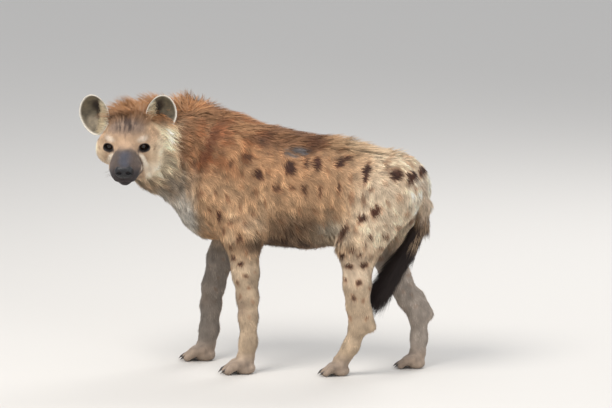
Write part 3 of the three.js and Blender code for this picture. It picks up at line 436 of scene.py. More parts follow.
# Smooth random values in space, from a seeded lattice
def noise(p, size, seed=0):
    q = np.asarray(p, float) / size
    base = np.floor(q).astype(np.int64)
    f = q - base
    f = f * f * (3 - 2 * f)
    total = np.zeros(len(q))
    for dx, dy, dz in lattice([0, 1], [0, 1], [0, 1]).tolist():
        h = (base[:, 0] + dx) * 374761393 + (base[:, 1] + dy) * 668265263
        h = h + (base[:, 2] + dz) * 2147483647 + seed * 1274126177
        h = (h ^ (h >> 13)) * 1274126177
        h = (h ^ (h >> 16)) & 0xFFFFFF
        weight = np.abs(1 - dx - f[:, 0]) * np.abs(1 - dy - f[:, 1]) * np.abs(1 - dz - f[:, 2])
        total += weight * (h / 0xFFFFFF)
    return total


def fractal(p, size, seed=0):
    broad = 0.55 * noise(p, size, seed) + 0.3 * noise(p, size / 2, seed + 1)
    return broad + 0.15 * noise(p, size / 4, seed + 2)


def swirl(p, size, seed):
    return rows_of(*[noise(p, size, seed + i) for i in range(3)]) - 0.5


# Colours, as seen on a screen, from 0 to 255
def colour(r, g, b):
    return np.array([r, g, b], float) / 255


BUFF = colour(162, 128, 96)
BUFF_PALE = colour(200, 178, 150)
BUFF_WARM = colour(154, 108, 72)
RUST = colour(144, 100, 68)
SPOT_RUST = colour(128, 78, 48)
SPOT = colour(58, 33, 23)
CREAM = colour(228, 206, 170)
# The grey of the legs' inner faces is painted shade.
LEG_SHADE_GREY = colour(112, 104, 97)
FACE = colour(168, 140, 114)
EAR_DARK = colour(46, 36, 28)
EAR_GREY = colour(98, 90, 76)
EAR_RIM = colour(240, 232, 218)


def mix(a, b, weight):
    return a + (b - a) * weight[:, None]


def layered(c, *layers):
    """Lays further tones over the first, each by its own weights."""
    for tone, weight in layers:
        c = mix(c, colour(*tone) if isinstance(tone, tuple) else tone, weight)
    return c


def blob(p, centre, radii, soft=0.35):
    r = length_of((p - np.array(centre, float)) / np.array(radii, float))
    return ramp(r, 1 + soft, 1 - soft)


# Spots of the left side: x, z, half length, half height, turn in degrees, strength
SIDE_SPOTS = [
    (-163, 635, 17, 18, 0, 0.8), (-64, 656, 19, 21, 0, 0.9), (-20, 671, 11, 18, 0, 0.7),
    (17, 670, 14, 21, 0, 1), (83, 670, 17, 14, 0, 0.9), (107, 683, 14, 11, 30, 0.9),
    (173, 641, 14, 30, 0, 1), (234, 671, 11, 18, 0, 0.8), (267, 645, 22, 19, 0, 1),
    (314, 638, 12, 22, 0, 0.95), (54, 745, 20, 10, 0, 0.7), (140, 718, 17, 8, 10, 0.7),
    (19, 716, 12, 13, 0, 0.6), (86, 712, 12, 14, 0, 0.45), (262, 690, 16, 7, -10, 0.6),
    (-104, 594, 14, 16, 0, 0.6), (-57, 600, 9, 11, 0, 0.5), (-20, 594, 12, 16, 0, 0.6),
    (32, 589, 9, 19, 0, 0.65), (89, 599, 8, 22, 0, 0.65), (130, 573, 12, 21, 0, 0.4),
    (170, 569, 11, 18, 0, 0.4), (197, 603, 11, 10, 0, 0.45), (280, 577, 12, 16, 0, 0.3),
    (210, 534, 16, 24, -35, 0.95), (165, 508, 14, 22, -40, 0.8), (107, 465, 12, 29, -15, 0.8),
    (276, 477, 11, 13, 0, 0.45), (241, 453, 9, 11, 30, 0.6), (192, 455, 6, 10, 0, 0.6),
    (224, 415, 8, 8, 0, 0.45), (106, 396, 12, 14, 0, 0.95), (140, 413, 11, 8, 20, 0.7),
    (165, 396, 11, 8, 0, 0.75), (176, 363, 14, 13, 0, 0.85), (128, 356, 16, 13, 0, 0.9),
    (157, 306, 10, 12, 0, 0.75), (141, 255, 9, 10, 0, 0.6), (113, 311, 9, 11, 0, 0.6),
    (128, 185, 8, 10, 0, 0.5), (170, 246, 8, 9, 0, 0.4), (-346, 582, 11, 18, 0, 0.85),
    (-295, 577, 6, 11, 0, 0.5), (-282, 508, 9, 19, 0, 0.85), (-247, 490, 8, 10, 0, 0.6),
    (-314, 520, 6, 10, 0, 0.5), (-215, 443, 11, 14, 0, 0.7), (-263, 458, 6, 10, 0, 0.5),
    (-236, 374, 8, 11, 0, 0.7), (-209, 354, 11, 13, 0, 0.85), (-195, 394, 6, 11, 0, 0.4),
    (-198, 315, 9, 10, 0, 0.6), (-224, 296, 8, 10, 0, 0.5), (-214, 248, 7, 10, 0, 0.4),
    (-186, 278, 6, 8, 0, 0.4), (-241, 414, 8, 10, 0, 0.5), (-196, 688, 20, 16, 0, 0.55),
    (-247, 670, 12, 16, 0, 0.5), (-171, 584, 9, 13, 0, 0.4), (-219, 535, 8, 11, 0, 0.4),
    (-181, 514, 8, 10, 0, 0.35), (-139, 553, 8, 13, 0, 0.35), (-257, 562, 8, 13, 0, 0.45),
    (-130, 645, 9, 11, 0, 0.3), (127, 630, 9, 13, 0, 0.35), (67, 543, 8, 13, 0, 0.3),
    (245, 564, 8, 11, 0, 0.35), (305, 527, 8, 11, 0, 0.35), (232, 620, 8, 10, 0, 0.3),
]


def placed_spots():
    """The named spots on both sides, shifted on the far one, and smaller seeded ones where there is room."""
    draw = np.random.default_rng(11)
    spots = []
    for x, z, rx, rz, turn, strong in SIDE_SPOTS:
        spots.append((x, -1, z, rx, rz, turn, strong))
        spots.append((x + draw.uniform(-22, 22), 1, z + draw.uniform(-14, 14), rx, rz, -turn, strong))
    for side in (-1, 1):
        placed = [(s[0], s[2]) for s in spots if s[1] == side]
        for _ in range(2600):
            x = draw.uniform(-420, 360)
            z = draw.uniform(180, 740)
            on_leg = z < 430
            if min(math.hypot(x - a, z - b) for a, b in placed) < (29 if on_leg else 36):
                continue
            size = draw.uniform(5, 8 if on_leg else 9)
            strong = draw.uniform(0.25, 0.6) if on_leg else draw.uniform(0.12, 0.38)
            placed.append((x, z))
            spots.append((x, side, z, size, size * draw.uniform(1, 1.5), draw.uniform(-25, 25), strong))
    return spots


SPOTS = placed_spots()


def spot_weight(p):
    """How strong the spots are at each place."""
    w = np.zeros(len(p))
    x = p[:, 0] + noise(p, 14, 5) * 10 - 5
    z = p[:, 2] + noise(p, 14, 6) * 10 - 5
    for sx, side, sz, rx, rz, turn, strong in SPOTS:
        reach = max(rx, rz) * 1.6 + 6
        near = (np.abs(x - sx) < reach) & (np.abs(z - sz) < reach) & (p[:, 1] * side > -8)
        c = math.cos(math.radians(turn))
        s = math.sin(math.radians(turn))
        dx = x[near] - sx
        dz = z[near] - sz
        r = np.hypot((dx * c + dz * s) / rx, (dz * c - dx * s) / rz)
        w[near] = np.maximum(w[near], strong * ramp(r, 1.35, 0.45))
    return w


# The muzzle's half width by height on the face, and the part of height and of forward reach in that height
MUZZLE_HEIGHTS = [-130, -112, -100, -87, -52, -35, -20, -12, -6]
MUZZLE_HALVES = [40, 40, 44, 47, 50, 44, 34, 27, 22]
FACE_UP = 0.9135
FACE_AHEAD = 0.4067


def head_colour(q):
    """The face, by place in the head's own axes."""
    place = mirrored(q)
    x, y, z = place.T
    v = FACE_UP * z - FACE_AHEAD * y
    # forehead: grey brown with dark upright streaks in the middle and rust on the crown
    high = ramp(v + 8 * (noise(q, 10, 45) - 0.5), 26, 54)
    streaks = ramp(noise(q * np.array([1, 0.14, 0.14]), 4.6, 33), 0.34, 0.62)
    middle = ramp(v, 34, 58) * ramp(x, 42, 14)
    crown = v + 9 * (noise(q * np.array([1, 0.3, 0.3]), 6, 35) - 0.5)
    # muzzle: slate, with a painted bluish sheen down the bridge, edged by a pale stripe on each side
    half = np.interp(v, MUZZLE_HEIGHTS, MUZZLE_HALVES)
    ahead = ramp(y, -4, 14)
    edge = x - half + 9 * (noise(q, 8, 39) - 0.5)
    muzzle = ramp(edge, 7, -6) * ahead * ramp(v + 8 * (noise(q, 9, 40) - 0.5), 6, -22)
    # painted highlight: the bluish sheen down the bridge of the muzzle
    bridge_sheen = ramp(x + 8 * (noise(q, 8, 44) - 0.5), 28, 4) * ramp(v, -6, -30) * ramp(v, -76, -60)
    stripe = ramp(np.abs(x - half - 8), 9, 4) * ramp(v, -16, -30) * ramp(v, -92, -80)
    near_eye = length_of((place - eye_centre(1) - np.array([0, 8, 0])) / np.array([1.22, 1.3, 1.0]))
    c = layered(
        FACE,
        ((204, 180, 150), 0.8 * ramp(x, 52, 84) * ramp(v, 34, -16)),
        ((222, 202, 172), 0.75 * ramp(x, 84, 100) * ramp(z, 40, 0)),
        ((230, 214, 192), 0.7 * ramp(v, -34, -64) * ramp(x, 48, 58)),
        ((112, 94, 82), 0.85 * high * ramp(x, 74, 40)),
        ((52, 40, 36), 0.75 * middle * streaks),
        ((162, 136, 114), 0.35 * middle * (1 - streaks)),
        ((146, 96, 58), 0.75 * ramp(crown, 82, 98) * ramp(x, 78, 50)),
        ((172, 142, 112), 0.5 * ramp(x, 50, 66) * ramp(v, 30, 50)),
        ((204, 190, 174), 0.7 * blob(place, (51, 8, 27), (17, 30, 8.5), 0.5)),
        ((80, 62, 54), 0.5 * ramp(x, 2.4, 0.6) * ramp(v, 4, 12) * ramp(v, 44, 34)),
        ((76, 65, 60), 0.92 * muzzle),
        ((50, 46, 48), 0.8 * muzzle * ramp(v, -60, -84)),
        # painted bluish sheen on the bridge
        ((64, 67, 78), 0.8 * bridge_sheen * ahead),
        ((240, 226, 206), 0.9 * stripe * ahead),
        ((40, 33, 33), 0.92 * ramp(v, -98, -108) * ramp(x, 54, 44) * ahead),
        # round the eye, and the lines that run out of its corners
        ((34, 27, 25), 0.9 * ramp(near_eye, 20, 13)),
        ((46, 38, 36), 0.85 * blob(place, (32, 12, -6), (11, 20, 9))),
        ((74, 62, 56), 0.7 * blob(place, (27, 24, -14), (9, 22, 12))),
        ((110, 84, 62), 0.6 * blob(place, (86, 0, -8), (3, 14, 7), 0.5)))
    fine = noise(q * np.array([1, 0.5, 0.5]), 3.2, 43)
    return c * (0.84 + 0.2 * fractal(q, 16, 31) + 0.14 * fine)[:, None]


def coat_colour(p, normals):
    """The colour of the coat at a place of the body, in millimetres."""
    x, y, z = p.T
    side_on = rows_of(x, 0, z)
    broad = fractal(p, 60, 3)
    height = trunk_share(p)
    on_trunk = ramp(z, 400, 440)
    low_side = ramp(height, 0.5, 0.25) * ramp(x, 150, 60) * ramp(x, -240, -170)
    matted = blob(side_on, (-105, 0, 742), (92, 1, 30), 0.5) + blob(side_on, (-40, 0, 715), (60, 1, 26), 0.5)
    bare = blob(side_on, (-50, 0, 702), (36, 1, 15), 0.3) * ramp(noise(p, 12, 19), 0.25, 0.5)
    # painted shade: the underside of the belly, where it is painted near black
    under = ramp(height, 0.16, 0.0) * ramp(x, 130, 60) * ramp(x, -200, -130) * on_trunk
    streak = ramp(noise(p * np.array([0.4, 0.6, 1]), 13, 23), 0.25, 0.55)
    brown = blob(side_on, (-80, 0, 418), (120, 1, 30), 0.5)
    brown = brown + 0.7 * blob(side_on, (-52, 0, 478), (80, 1, 34), 0.6)
    patch = ramp(fractal(p * np.array([1, 1, 0.5]), 30, 21), 0.4, 0.58)
    band = ramp(x, -425, -395) * ramp(x, -250, -310) * ramp(z, 620, 690) * ramp(z, 810, 760)
    blotch = ramp(fractal(p, 26, 27), 0.5, 0.66) * ramp(x, -120, -220) * ramp(z, 600, 680)
    ragged = x + 44 * (noise(p, 24, 29) - 0.5) + 16 * (noise(p, 8, 30) - 0.5)
    cheek = ramp(ragged, -392, -450) * ramp(z, 806, 766) * ramp(z, 586, 640)
    fleck = ramp(noise(p * np.array([1, 1, 0.4]), 9, 37), 0.5, 0.75) * ramp(x, -385, -415)
    leg = ramp(z, 440, 330)
    # painted shade: how far a leg's face turns towards the other legs, where it is painted grey
    inner_shade = leg * ramp(-normals[:, 1] * np.sign(y), -0.35, 0.4)
    # the pale patch behind the haunches, partly real and partly painted light
    rear = ramp(x, 290, 335) * ramp(z, 360, 420) * ramp(np.abs(y), 14, 30)
    c = layered(
        BUFF,
        # trunk: paler behind and below, warm above, with a painted highlight along the top of the back, and
        # dark under the belly as painted shade over partly real dark patches
        (BUFF_PALE, 0.75 * ramp(x, 60, 300) * on_trunk),
        (BUFF_PALE, 0.5 * ramp(height, 0.55, 0.2) * on_trunk * ramp(broad, 0.4, 0.7)),
        (BUFF_WARM, (0.35 + 0.5 * broad) * ramp(height, 0.45, 0.9) * ramp(x, 140, -120) * on_trunk),
        ((140, 112, 84), 0.5 * low_side * on_trunk * ramp(fractal(p, 40, 17), 0.35, 0.6)),
        ((88, 58, 40), np.clip(matted, 0, 1) * (0.4 + 0.6 * ramp(broad, 0.35, 0.6))),
        ((84, 84, 88), 0.8 * bare * (y < 0)),
        # painted highlight: pale along the top of the back, behind the middle
        ((218, 194, 162), 0.6 * ramp(height, 0.9, 1.0) * ramp(x, 30, 110)),
        # painted shade, near black along the underside of the belly
        ((32.4, 21.6, 15), (0.7 + 0.3 * broad) * under),
        # dark brown patches low on the belly: partly real marks, partly painted shade
        ((42, 27, 19), 0.96 * np.clip(brown, 0, 1) * (0.45 + 0.55 * streak)),
        ((164, 156, 140), 0.8 * blob(side_on, (58, 0, 455), (62, 1, 36), 0.6) * (0.45 + 0.55 * streak)),
        # neck, throat and chest
        (RUST * 0.85, (0.35 + 0.55 * broad) * ramp(x, -240, -330) * ramp(z, 600, 700)),
        ((101.4, 59.8, 39), 0.85 * band * patch),
        (SPOT_RUST, 0.6 * blotch * ramp(x, -400, -350)),
        # the pale cheek is painted weaker on the right, far side, as painted shade
        ((244, 222, 186), (0.95 - 0.35 * (y > 0)) * cheek),
        ((146, 132, 116), (0.35 + 0.6 * patch) * ramp(z, 668, 606) * ramp(x, -335, -385)),
        ((96, 84, 68), 0.6 * fleck * ramp(z, 740, 690)),
        ((200, 194, 184), (0.55 + 0.4 * broad) * ramp(x, -345, -385) * ramp(z, 600, 530)),
        ((170, 112, 66), 0.7 * ramp(z, 800, 830) * ramp(x, -330, -400)),
        # legs: pale, grey on their inner faces as painted shade
        ((176, 156, 132), 0.85 * leg),
        ((206, 184, 160), 0.6 * blob(side_on, (140, 0, 350), (60, 1, 60), 0.6)),
        # painted shade: grey on the legs' inner faces, lighter towards the hind legs
        (LEG_SHADE_GREY * (1 + 0.35 * ramp(x, 0, 200))[:, None], 0.85 * inner_shade),
        ((150, 132, 116), ramp(z, 80, 30)),
        # a real pale patch behind the haunches, painted brighter than its own tone as painted light where it
        # faces away from the key light
        ((236, 218, 194), 0.9 * rear),
        ((212, 192, 166), 0.75 * blob(side_on, (225, 0, 520), (95, 1, 130), 0.5)))
    # spots, which fade on the neck, belly and paws, and under the painted shade on the legs' inner faces
    strength = spot_weight(p) * ramp(z, 150, 210) * (1 - 0.85 * ramp(x, -300, -380)) * (1 - 0.7 * under)
    strength *= (1 - 0.6 * ramp(height, 0.86, 0.98) * on_trunk) * (1 - 0.65 * inner_shade)
    wrist = blob(p, (-222, -112, 215), (26, 40, 34), 0.6) + blob(p, (-368, 100, 205), (26, 40, 34), 0.6)
    c = layered(
        c,
        (mix(SPOT_RUST, SPOT, ramp(strength, 0.25, 0.6)), np.clip(1.15 * strength, 0, 0.96)),
        ((112, 94, 80), 0.45 * np.clip(wrist, 0, 1)))
    c = c * (0.8 + 0.4 * fractal(p * np.array([0.5, 1, 0.35]), 9, 9))[:, None]
    # tail: tan outside, black below
    tail_d = np.full(len(p), 99.0)
    near = (x > 200) & (z < 640) & (np.abs(y) < 60) & (z > 200)
    tail_d[near] = chain(p[near], TAIL, 14)
    c = mix(c, mix(colour(196, 174, 150), colour(50.6, 43.7, 41.4), ramp(z, 520, 440)), ramp(tail_d, 9, 3))
    q = to_head(p)
    in_head = head_share(q)
    found = in_head > 0
    c[found] = mix(c[found], head_colour(q[found]), in_head[found])
    return np.clip(c, 0.01, 1)


def pressed(lie, normals):
    """Turns directions into the plane of the skin."""
    return unit(lie - normals * np.sum(lie * normals, 1)[:, None])


def lie_of(p, normals):
    """Which way the hair points along the skin."""
    x, z = p[:, 0], p[:, 2]
    height = np.clip(trunk_share(p), 0, 1)
    q = to_head(p)
    in_head = head_share(q, 1.12, 0.94)
    back = rows_of(np.sign(q[:, 0]) * 0.25, -1.0, 0.35 - 0.7 * ramp(q[:, 2], 10, -40))
    lie = layered(
        rows_of(0.75, 0, -0.25 - 1.0 * ramp(height, 0.95, 0.4)),
        (np.array([0.12, 0, -1.0]), ramp(z, 470, 380)),
        (np.array([0.9, 0.25, -0.75]), ramp(x, -290, -360) * ramp(z, 520, 600)),
        (np.array([0.1, 0, -1.0]), ramp(x, 250, 320) * ramp(z, 420, 480)),
        (np.array([-1.0, 0, -0.5]), ramp(z, 75, 40)),
        (back @ HEAD_AXES, in_head))
    return pressed(lie + swirl(p, 45, 51) * (1.1 - 0.7 * in_head)[:, None], normals)


# Blender meshes from arrays
def to_linear(c):
    c = np.clip(c, 0, 1)
    return np.where(c <= 0.04045, c / 12.92, ((c + 0.055) / 1.055) ** 2.4)


def add_mesh(name, vertices, faces, colours=None, normals=None, uv=None):
    sides = faces.shape[1]
    mesh = bpy.data.meshes.new(name)
    mesh.vertices.add(len(vertices))
    mesh.vertices.foreach_set("co", metres(vertices).astype(np.float32).ravel())
    mesh.loops.add(faces.size)
    mesh.loops.foreach_set("vertex_index", faces.astype(np.int32).ravel())
    mesh.polygons.add(len(faces))
    mesh.polygons.foreach_set("loop_start", np.arange(0, faces.size, sides, dtype=np.int32))
    mesh.update(calc_edges=True)
    mesh.polygons.foreach_set("use_smooth", np.ones(len(faces), bool))
    if colours is not None:
        layer = mesh.color_attributes.new("coat_colour", "FLOAT_COLOR", "POINT")
        rgba = np.ones((len(vertices), 4), np.float32)
        rgba[:, :3] = to_linear(colours)
        layer.data.foreach_set("color", rgba.ravel())
    if uv is not None:
        layer = mesh.uv_layers.new(name="OFBake")
        layer.data.foreach_set("uv", uv[faces.ravel()].astype(np.float32).ravel())
    if normals is not None:
        mesh.normals_split_custom_set_from_vertices(normals)
    obj = bpy.data.objects.new(name, mesh)
    bpy.context.scene.collection.objects.link(obj)
    return obj


def dress(obj, material, slot, *solids):
    """Gives a piece its material, its body and the solids that it takes the place of; the slot is not used.
    """
    obj.data.materials.append(material)
    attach(obj, "root")
    if solids:
        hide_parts(*solids)


# Materials
def new_material(name):
    material = bpy.data.materials.new(name)
    material.use_nodes = True
    tree = material.node_tree
    return material, tree, tree.nodes["Principled BSDF"]


def wire(tree, node, *wires):
    """Links sockets of other nodes to this one: source, its output, the socket here."""
    for source, output, socket in wires:
        tree.links.new(source.outputs[output], node.inputs[socket])


def set_inputs(node, values):
    for name, value in values.items():
        node.inputs[name].default_value = value


def add_node(tree, kind, *wires, inputs=(), **settings):
    node = tree.nodes.new(kind)
    for key, value in settings.items():
        setattr(node, key, value)
    set_inputs(node, dict(inputs))
    wire(tree, node, *wires)
    return node


def set_ramp(node, stops):
    elements = node.color_ramp.elements
    for i, (position, tone) in enumerate(stops):
        element = elements[i] if i < 2 else elements.new(position)
        element.position = position
        element.color = (*tone, 1)


def fur_material(name, grain=900.0, bump=0.35, roughness=0.85, sheen=0.12, variation=0.22):
    material, tree, shader = new_material(name)
    tint = add_node(tree, "ShaderNodeAttribute", attribute_name="coat_colour")
    place = add_node(tree, "ShaderNodeTexCoord")
    speckle = add_node(
        tree, "ShaderNodeTexNoise", (place, "Object", "Vector"),
        inputs={"Scale": grain, "Detail": 3.0, "Roughness": 0.6})
    shade = add_node(
        tree, "ShaderNodeMapRange", (speckle, "Fac", "Value"),
        inputs={"To Min": 1 - variation, "To Max": 1 + variation})
    scaled = add_node(
        tree, "ShaderNodeVectorMath", (tint, "Color", 0), (shade, "Result", "Scale"), operation="SCALE")
    wire(tree, shader, (scaled, "Vector", "Base Color"))
    if bump:
        raised = add_node(
            tree, "ShaderNodeBump", (speckle, "Fac", "Height"), inputs={"Strength": bump, "Distance": 0.0012})
        wire(tree, shader, (raised, "Normal", "Normal"))
    set_inputs(shader, {
        "Roughness": roughness, "Specular IOR Level": 0.25, "Sheen Weight": sheen, "Sheen Roughness": 0.5})
    return material


SKIN_FUR = fur_material("short_fur")
COAT_FUR = fur_material("coat_hair", grain=260.0, bump=0.0, roughness=0.6, sheen=0.0, variation=0.12)
FACE_SKIN = fur_material("lid_skin", grain=1400.0, bump=0.3, roughness=0.5, sheen=0.0, variation=0.1)


def nose_material():
    material, tree, shader = new_material("nose_leather")
    place = add_node(tree, "ShaderNodeTexCoord")
    cells = add_node(
        tree, "ShaderNodeTexVoronoi", (place, "Object", "Vector"),
        feature="DISTANCE_TO_EDGE", inputs={"Scale": 620.0})
    tint = add_node(tree, "ShaderNodeValToRGB", (cells, "Distance", "Fac"))
    set_ramp(tint, ((0.0, (0.006, 0.006, 0.0065)), (0.25, (0.032, 0.031, 0.034))))
    raised = add_node(
        tree, "ShaderNodeBump", (cells, "Distance", "Height"), inputs={"Strength": 0.5, "Distance": 0.0006})
    wire(tree, shader, (tint, "Color", "Base Color"), (raised, "Normal", "Normal"))
    set_inputs(shader, {"Roughness": 0.36, "Specular IOR Level": 0.3})
    return material


def eye_material(centre, gaze):
    """Dark brown iris round a black pupil, by the angle from the gaze."""
    material, tree, shader = new_material("eye_wet")
    place = add_node(tree, "ShaderNodeTexCoord")
    offset = add_node(
        tree, "ShaderNodeVectorMath", (place, "Object", 0), operation="SUBTRACT", inputs={1: tuple(centre)})
    away = add_node(tree, "ShaderNodeVectorMath", (offset, "Vector", 0), operation="NORMALIZE")
    facing = add_node(
        tree, "ShaderNodeVectorMath", (away, "Vector", 0), operation="DOT_PRODUCT", inputs={1: tuple(gaze)})
    tint = add_node(tree, "ShaderNodeValToRGB", (facing, "Value", "Fac"))
    set_ramp(tint, (
        (0.72, (0.012, 0.008, 0.007)), (0.80, (0.030, 0.014, 0.006)), (0.88, (0.034, 0.015, 0.006)),
        (0.925, (0.018, 0.008, 0.004)), (0.935, (0.001, 0.001, 0.001))))
    wire(tree, shader, (tint, "Color", "Base Color"))
    set_inputs(shader, {
        "Roughness": 0.05, "Specular IOR Level": 0.3, "Coat Weight": 0.3, "Coat Roughness": 0.02})
    return material


def claw_material():
    material, tree, shader = new_material("claw_horn")
    place = add_node(tree, "ShaderNodeTexCoord")
    streak = add_node(
        tree, "ShaderNodeTexNoise", (place, "Object", "Vector"), inputs={"Scale": 240.0, "Detail": 4.0})
    tint = add_node(tree, "ShaderNodeValToRGB", (streak, "Fac", "Fac"))
    set_ramp(tint, ((0.0, (0.014, 0.011, 0.01)), (1.0, (0.075, 0.06, 0.05))))
    wire(tree, shader, (tint, "Color", "Base Color"))
    set_inputs(shader, {"Roughness": 0.4})
    return material


# The unwrap that hair is painted by: each part of the body has six charts, one for each way it can face.
PART_BOX = {
    "trunk": ((-660, -260, 240), (420, 200, 900)),
    "head": ((-720, -400, 540), (-400, 0, 880)),
    "front_left": ((-420, -200, 0), (-60, 0, 480)),
    "front_right": ((-520, 0, 0), (-60, 200, 480)),
    "hind_left": ((-20, -200, 0), (360, 0, 480)),
    "hind_right": ((60, 0, 0), (420, 200, 480)),
    "ear_left": ((-560, -240, 700), (-380, -40, 920)),
    "ear_right": ((-760, -260, 700), (-600, -60, 920)),
}
PARTS = list(PART_BOX)
CHART_COLUMNS = 8
CHART_ROWS = 6
CHART_MARGIN = 0.04


def part_of(p):
    q = to_head(p)
    part = np.zeros(len(p), int)
    part[(q[:, 1] > -95) & (p[:, 0] < -400) & (p[:, 2] > 540)] = 1
    low = p[:, 2] < 430
    right = p[:, 1] >= 0
    front = low & (p[:, 0] < -60)
    part[front] = 2 + right[front]
    hind = low & (p[:, 0] >= -20) & (np.abs(p[:, 1]) > 24)
    part[hind] = 4 + right[hind]
    return part


def unwrap(p, normals, part=None):
    part = part_of(p) if part is None else np.full(len(p), part)
    axis = np.argmax(np.abs(normals), axis=1)
    facing = normals[np.arange(len(p)), axis] > 0
    chart = part * 6 + axis * 2 + facing
    low, high = [np.array([PART_BOX[name][i] for name in PARTS], float)[part] for i in (0, 1)]
    share = np.clip((p - low) / (high - low), 0, 1)
    share = CHART_MARGIN + (1 - 2 * CHART_MARGIN) * share
    u = (chart % CHART_COLUMNS + np.where(axis == 0, share[:, 1], share[:, 0])) / CHART_COLUMNS
    v = (chart // CHART_COLUMNS + np.where(axis == 2, share[:, 1], share[:, 2])) / CHART_ROWS
    return rows_of(u, v)


# Hair: each strand is a thin three-sided blade with its root under the skin
BLADE_SHARES = {2: (1.0, 0.72), 3: (0.9, 1.0, 0.6), 4: (0.8, 1.0, 0.8, 0.45)}
MOST_TRIANGLES = 190000
PATCH_SIZE = 0.0028


def blade_faces(rings):
    """Triangles of one blade: the root's end, the sides and the three at the tip."""
    faces = [(0, 1, 2)]
    for i in range(rings - 1):
        for k in range(3):
            a, b = i * 3 + k, i * 3 + (k + 1) % 3
            faces += [(a, b + 3, b), (a, a + 3, b + 3)]
    last = (rings - 1) * 3
    for k in range(3):
        faces.append((last + (k + 1) % 3, last + k, last + 3))
    return np.array(faces)


def strands(
        name, root, normal, lie, length, width, lift, base, tip, uv,
        rings=2, droop=0.6, sink=2.0, facing=None):
    n = len(root)
    sink = np.minimum(sink, 0.22 * length)
    draw = np.random.default_rng(len(name) + n)
    lifted = np.radians(lift)[:, None]
    way = lie * np.cos(lifted) + normal * np.sin(lifted)
    across = unit(np.cross(way, normal))
    twist = draw.uniform(-0.9, 0.9, n)[:, None]
    above = np.cross(across, way)
    flat = across * np.cos(twist) + above * np.sin(twist)
    thick = above * np.cos(twist) - across * np.sin(twist)
    place = root - (way + normal * 0.4) * sink[:, None]
    points = []
    shades = []
    step = (length + sink) / rings
    turned = way
    for i, share in enumerate(BLADE_SHARES[rings]):
        half = (width * share / 2)[:, None]
        points += [place - flat * half, place + flat * half, place + thick * half * 0.7]
        tone = base * (1 - i / rings) + tip * (i / rings)
        # the ring at the root is painted darker as painted shade between the hairs
        shades += [tone * (0.8 if i == 0 else 1.0)] * 3
        place = place + turned * step[:, None]
        turned = turned + (lie - turned) * (droop / rings)
        turned /= length_of(turned)[:, None]
    per = 3 * rings + 1
    vertices = np.stack(points + [place], 1).reshape(-1, 3)
    vertices[:, 2] = np.maximum(vertices[:, 2], FLOOR_GAP)
    colours = np.stack(shades + [tip], 1).reshape(-1, 3)
    local = blade_faces(rings)
    faces = (np.arange(n)[:, None, None] * per + local[None]).reshape(-1, 3)
    number = np.arange(per)
    spread = rows_of(number % 3 - 1, number // 3 - rings / 2) * PATCH_SIZE / rings
    patch = (uv[:, None] + spread[None]).reshape(-1, 2)
    soft = np.repeat(normal if facing is None else facing, per, 0) * 0.75
    outward = np.stack([-flat, flat, thick] * rings + [way * 0.2 + normal], 1).reshape(-1, 3)
    soft = soft + 0.25 * outward
    soft /= length_of(soft)[:, None]
    most = MOST_TRIANGLES // len(local)
    for k, start in enumerate(range(0, n, most)):
        end = min(n, start + most)
        own = slice(start * per, end * per)
        own_faces = faces[:(end - start) * len(local)]
        piece = add_mesh(f"{name}_{k + 1}", vertices[own], own_faces, colours[own], soft[own], patch[own])
        dress(piece, COAT_FUR, "coat")


def scattered(surface, density, draw, *more):
    """Seeded places on a surface, their normals and further values there.

    The density is in hairs for each square millimetre.
    """
    vertices, triangles, normals = surface
    a, b, c = [vertices[triangles[:, i]] for i in range(3)]
    wanted = length_of(np.cross(b - a, c - a)) / 2 * density[triangles].mean(1)
    count = np.floor(wanted + draw.uniform(0, 1, len(wanted))).astype(int)
    chosen = np.repeat(np.arange(len(triangles)), count)
    u = np.sqrt(draw.uniform(0, 1, len(chosen)))
    v = draw.uniform(0, 1, len(chosen))
    weights = rows_of(1 - u, u * (1 - v), u * v)
    corners = triangles[chosen]
    p, n, *rest = [
        np.einsum("ij,ij...->i...", weights, values[corners]) for values in (vertices, normals, *more)]
    return p, unit(n), *rest


# Eyes and lids
LID_WIDTH = 12.2
LID_ABOVE = 9.4
LID_BELOW = 8.4
LID_SLANT = 0.1


def eye_axes(sign):
    gaze = np.array([sign * 0.42, 0.9, 0.03])
    gaze /= np.linalg.norm(gaze)
    across = np.array([gaze[1], -gaze[0], 0])
    across /= np.linalg.norm(across)
    return across, gaze, np.cross(across, gaze)


def lid_share(q, sign):
    """How far a place lies from the middle of the eye's opening, 1 at the edge of the lids."""
    across, gaze, above = eye_axes(sign)
    way = q - eye_centre(sign)
    u = way @ across
    v = way @ above + sign * u * LID_SLANT
    share = np.hypot(u / LID_WIDTH, v / np.where(v > 0, LID_ABOVE, LID_BELOW))
    return np.where(way @ gaze > 0, share, 9.0)


# The skin
def make_skin():
    vertices, quads = surface_net(skin_field, (-760, -400, -20), (420, 200, 880), 4.5)
    vertices = moved_to(skin_field, vertices, steps=2)
    vertices[:, 2] = np.maximum(vertices[:, 2], FLOOR_GAP)
    normals = vertex_normals(vertices, triangles_of(quads))
    # The part behind the opening of each eye is laid flat inside the eyeball.
    q = to_head(vertices)
    for sign in (-1, 1):
        across, gaze, above = eye_axes(sign)
        centre = eye_centre(sign)
        near = length_of(q - centre) < 34
        inside = near & (lid_share(q, sign) < 1.36) & (q[:, 1] > EYE_FORWARD)
        away = q[inside] - centre
        q[inside] = centre + across * (away @ across)[:, None] + above * (away @ above)[:, None] - gaze * 4
        vertices[inside] = from_head(q[inside])
    return vertices, quads, normals


skin_vertices, skin_quads, skin_normals = make_skin()
SURFACE = (skin_vertices, triangles_of(skin_quads), skin_normals)
FLESH = [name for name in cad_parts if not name.startswith(("claw", "eye", "ear", "nose"))]
skin = add_mesh("skin", skin_vertices, skin_quads, coat_colour(skin_vertices, skin_normals))
dress(skin, SKIN_FUR, "coat", *FLESH)


def turns(count):
    return 2 * math.pi * np.arange(count) / count


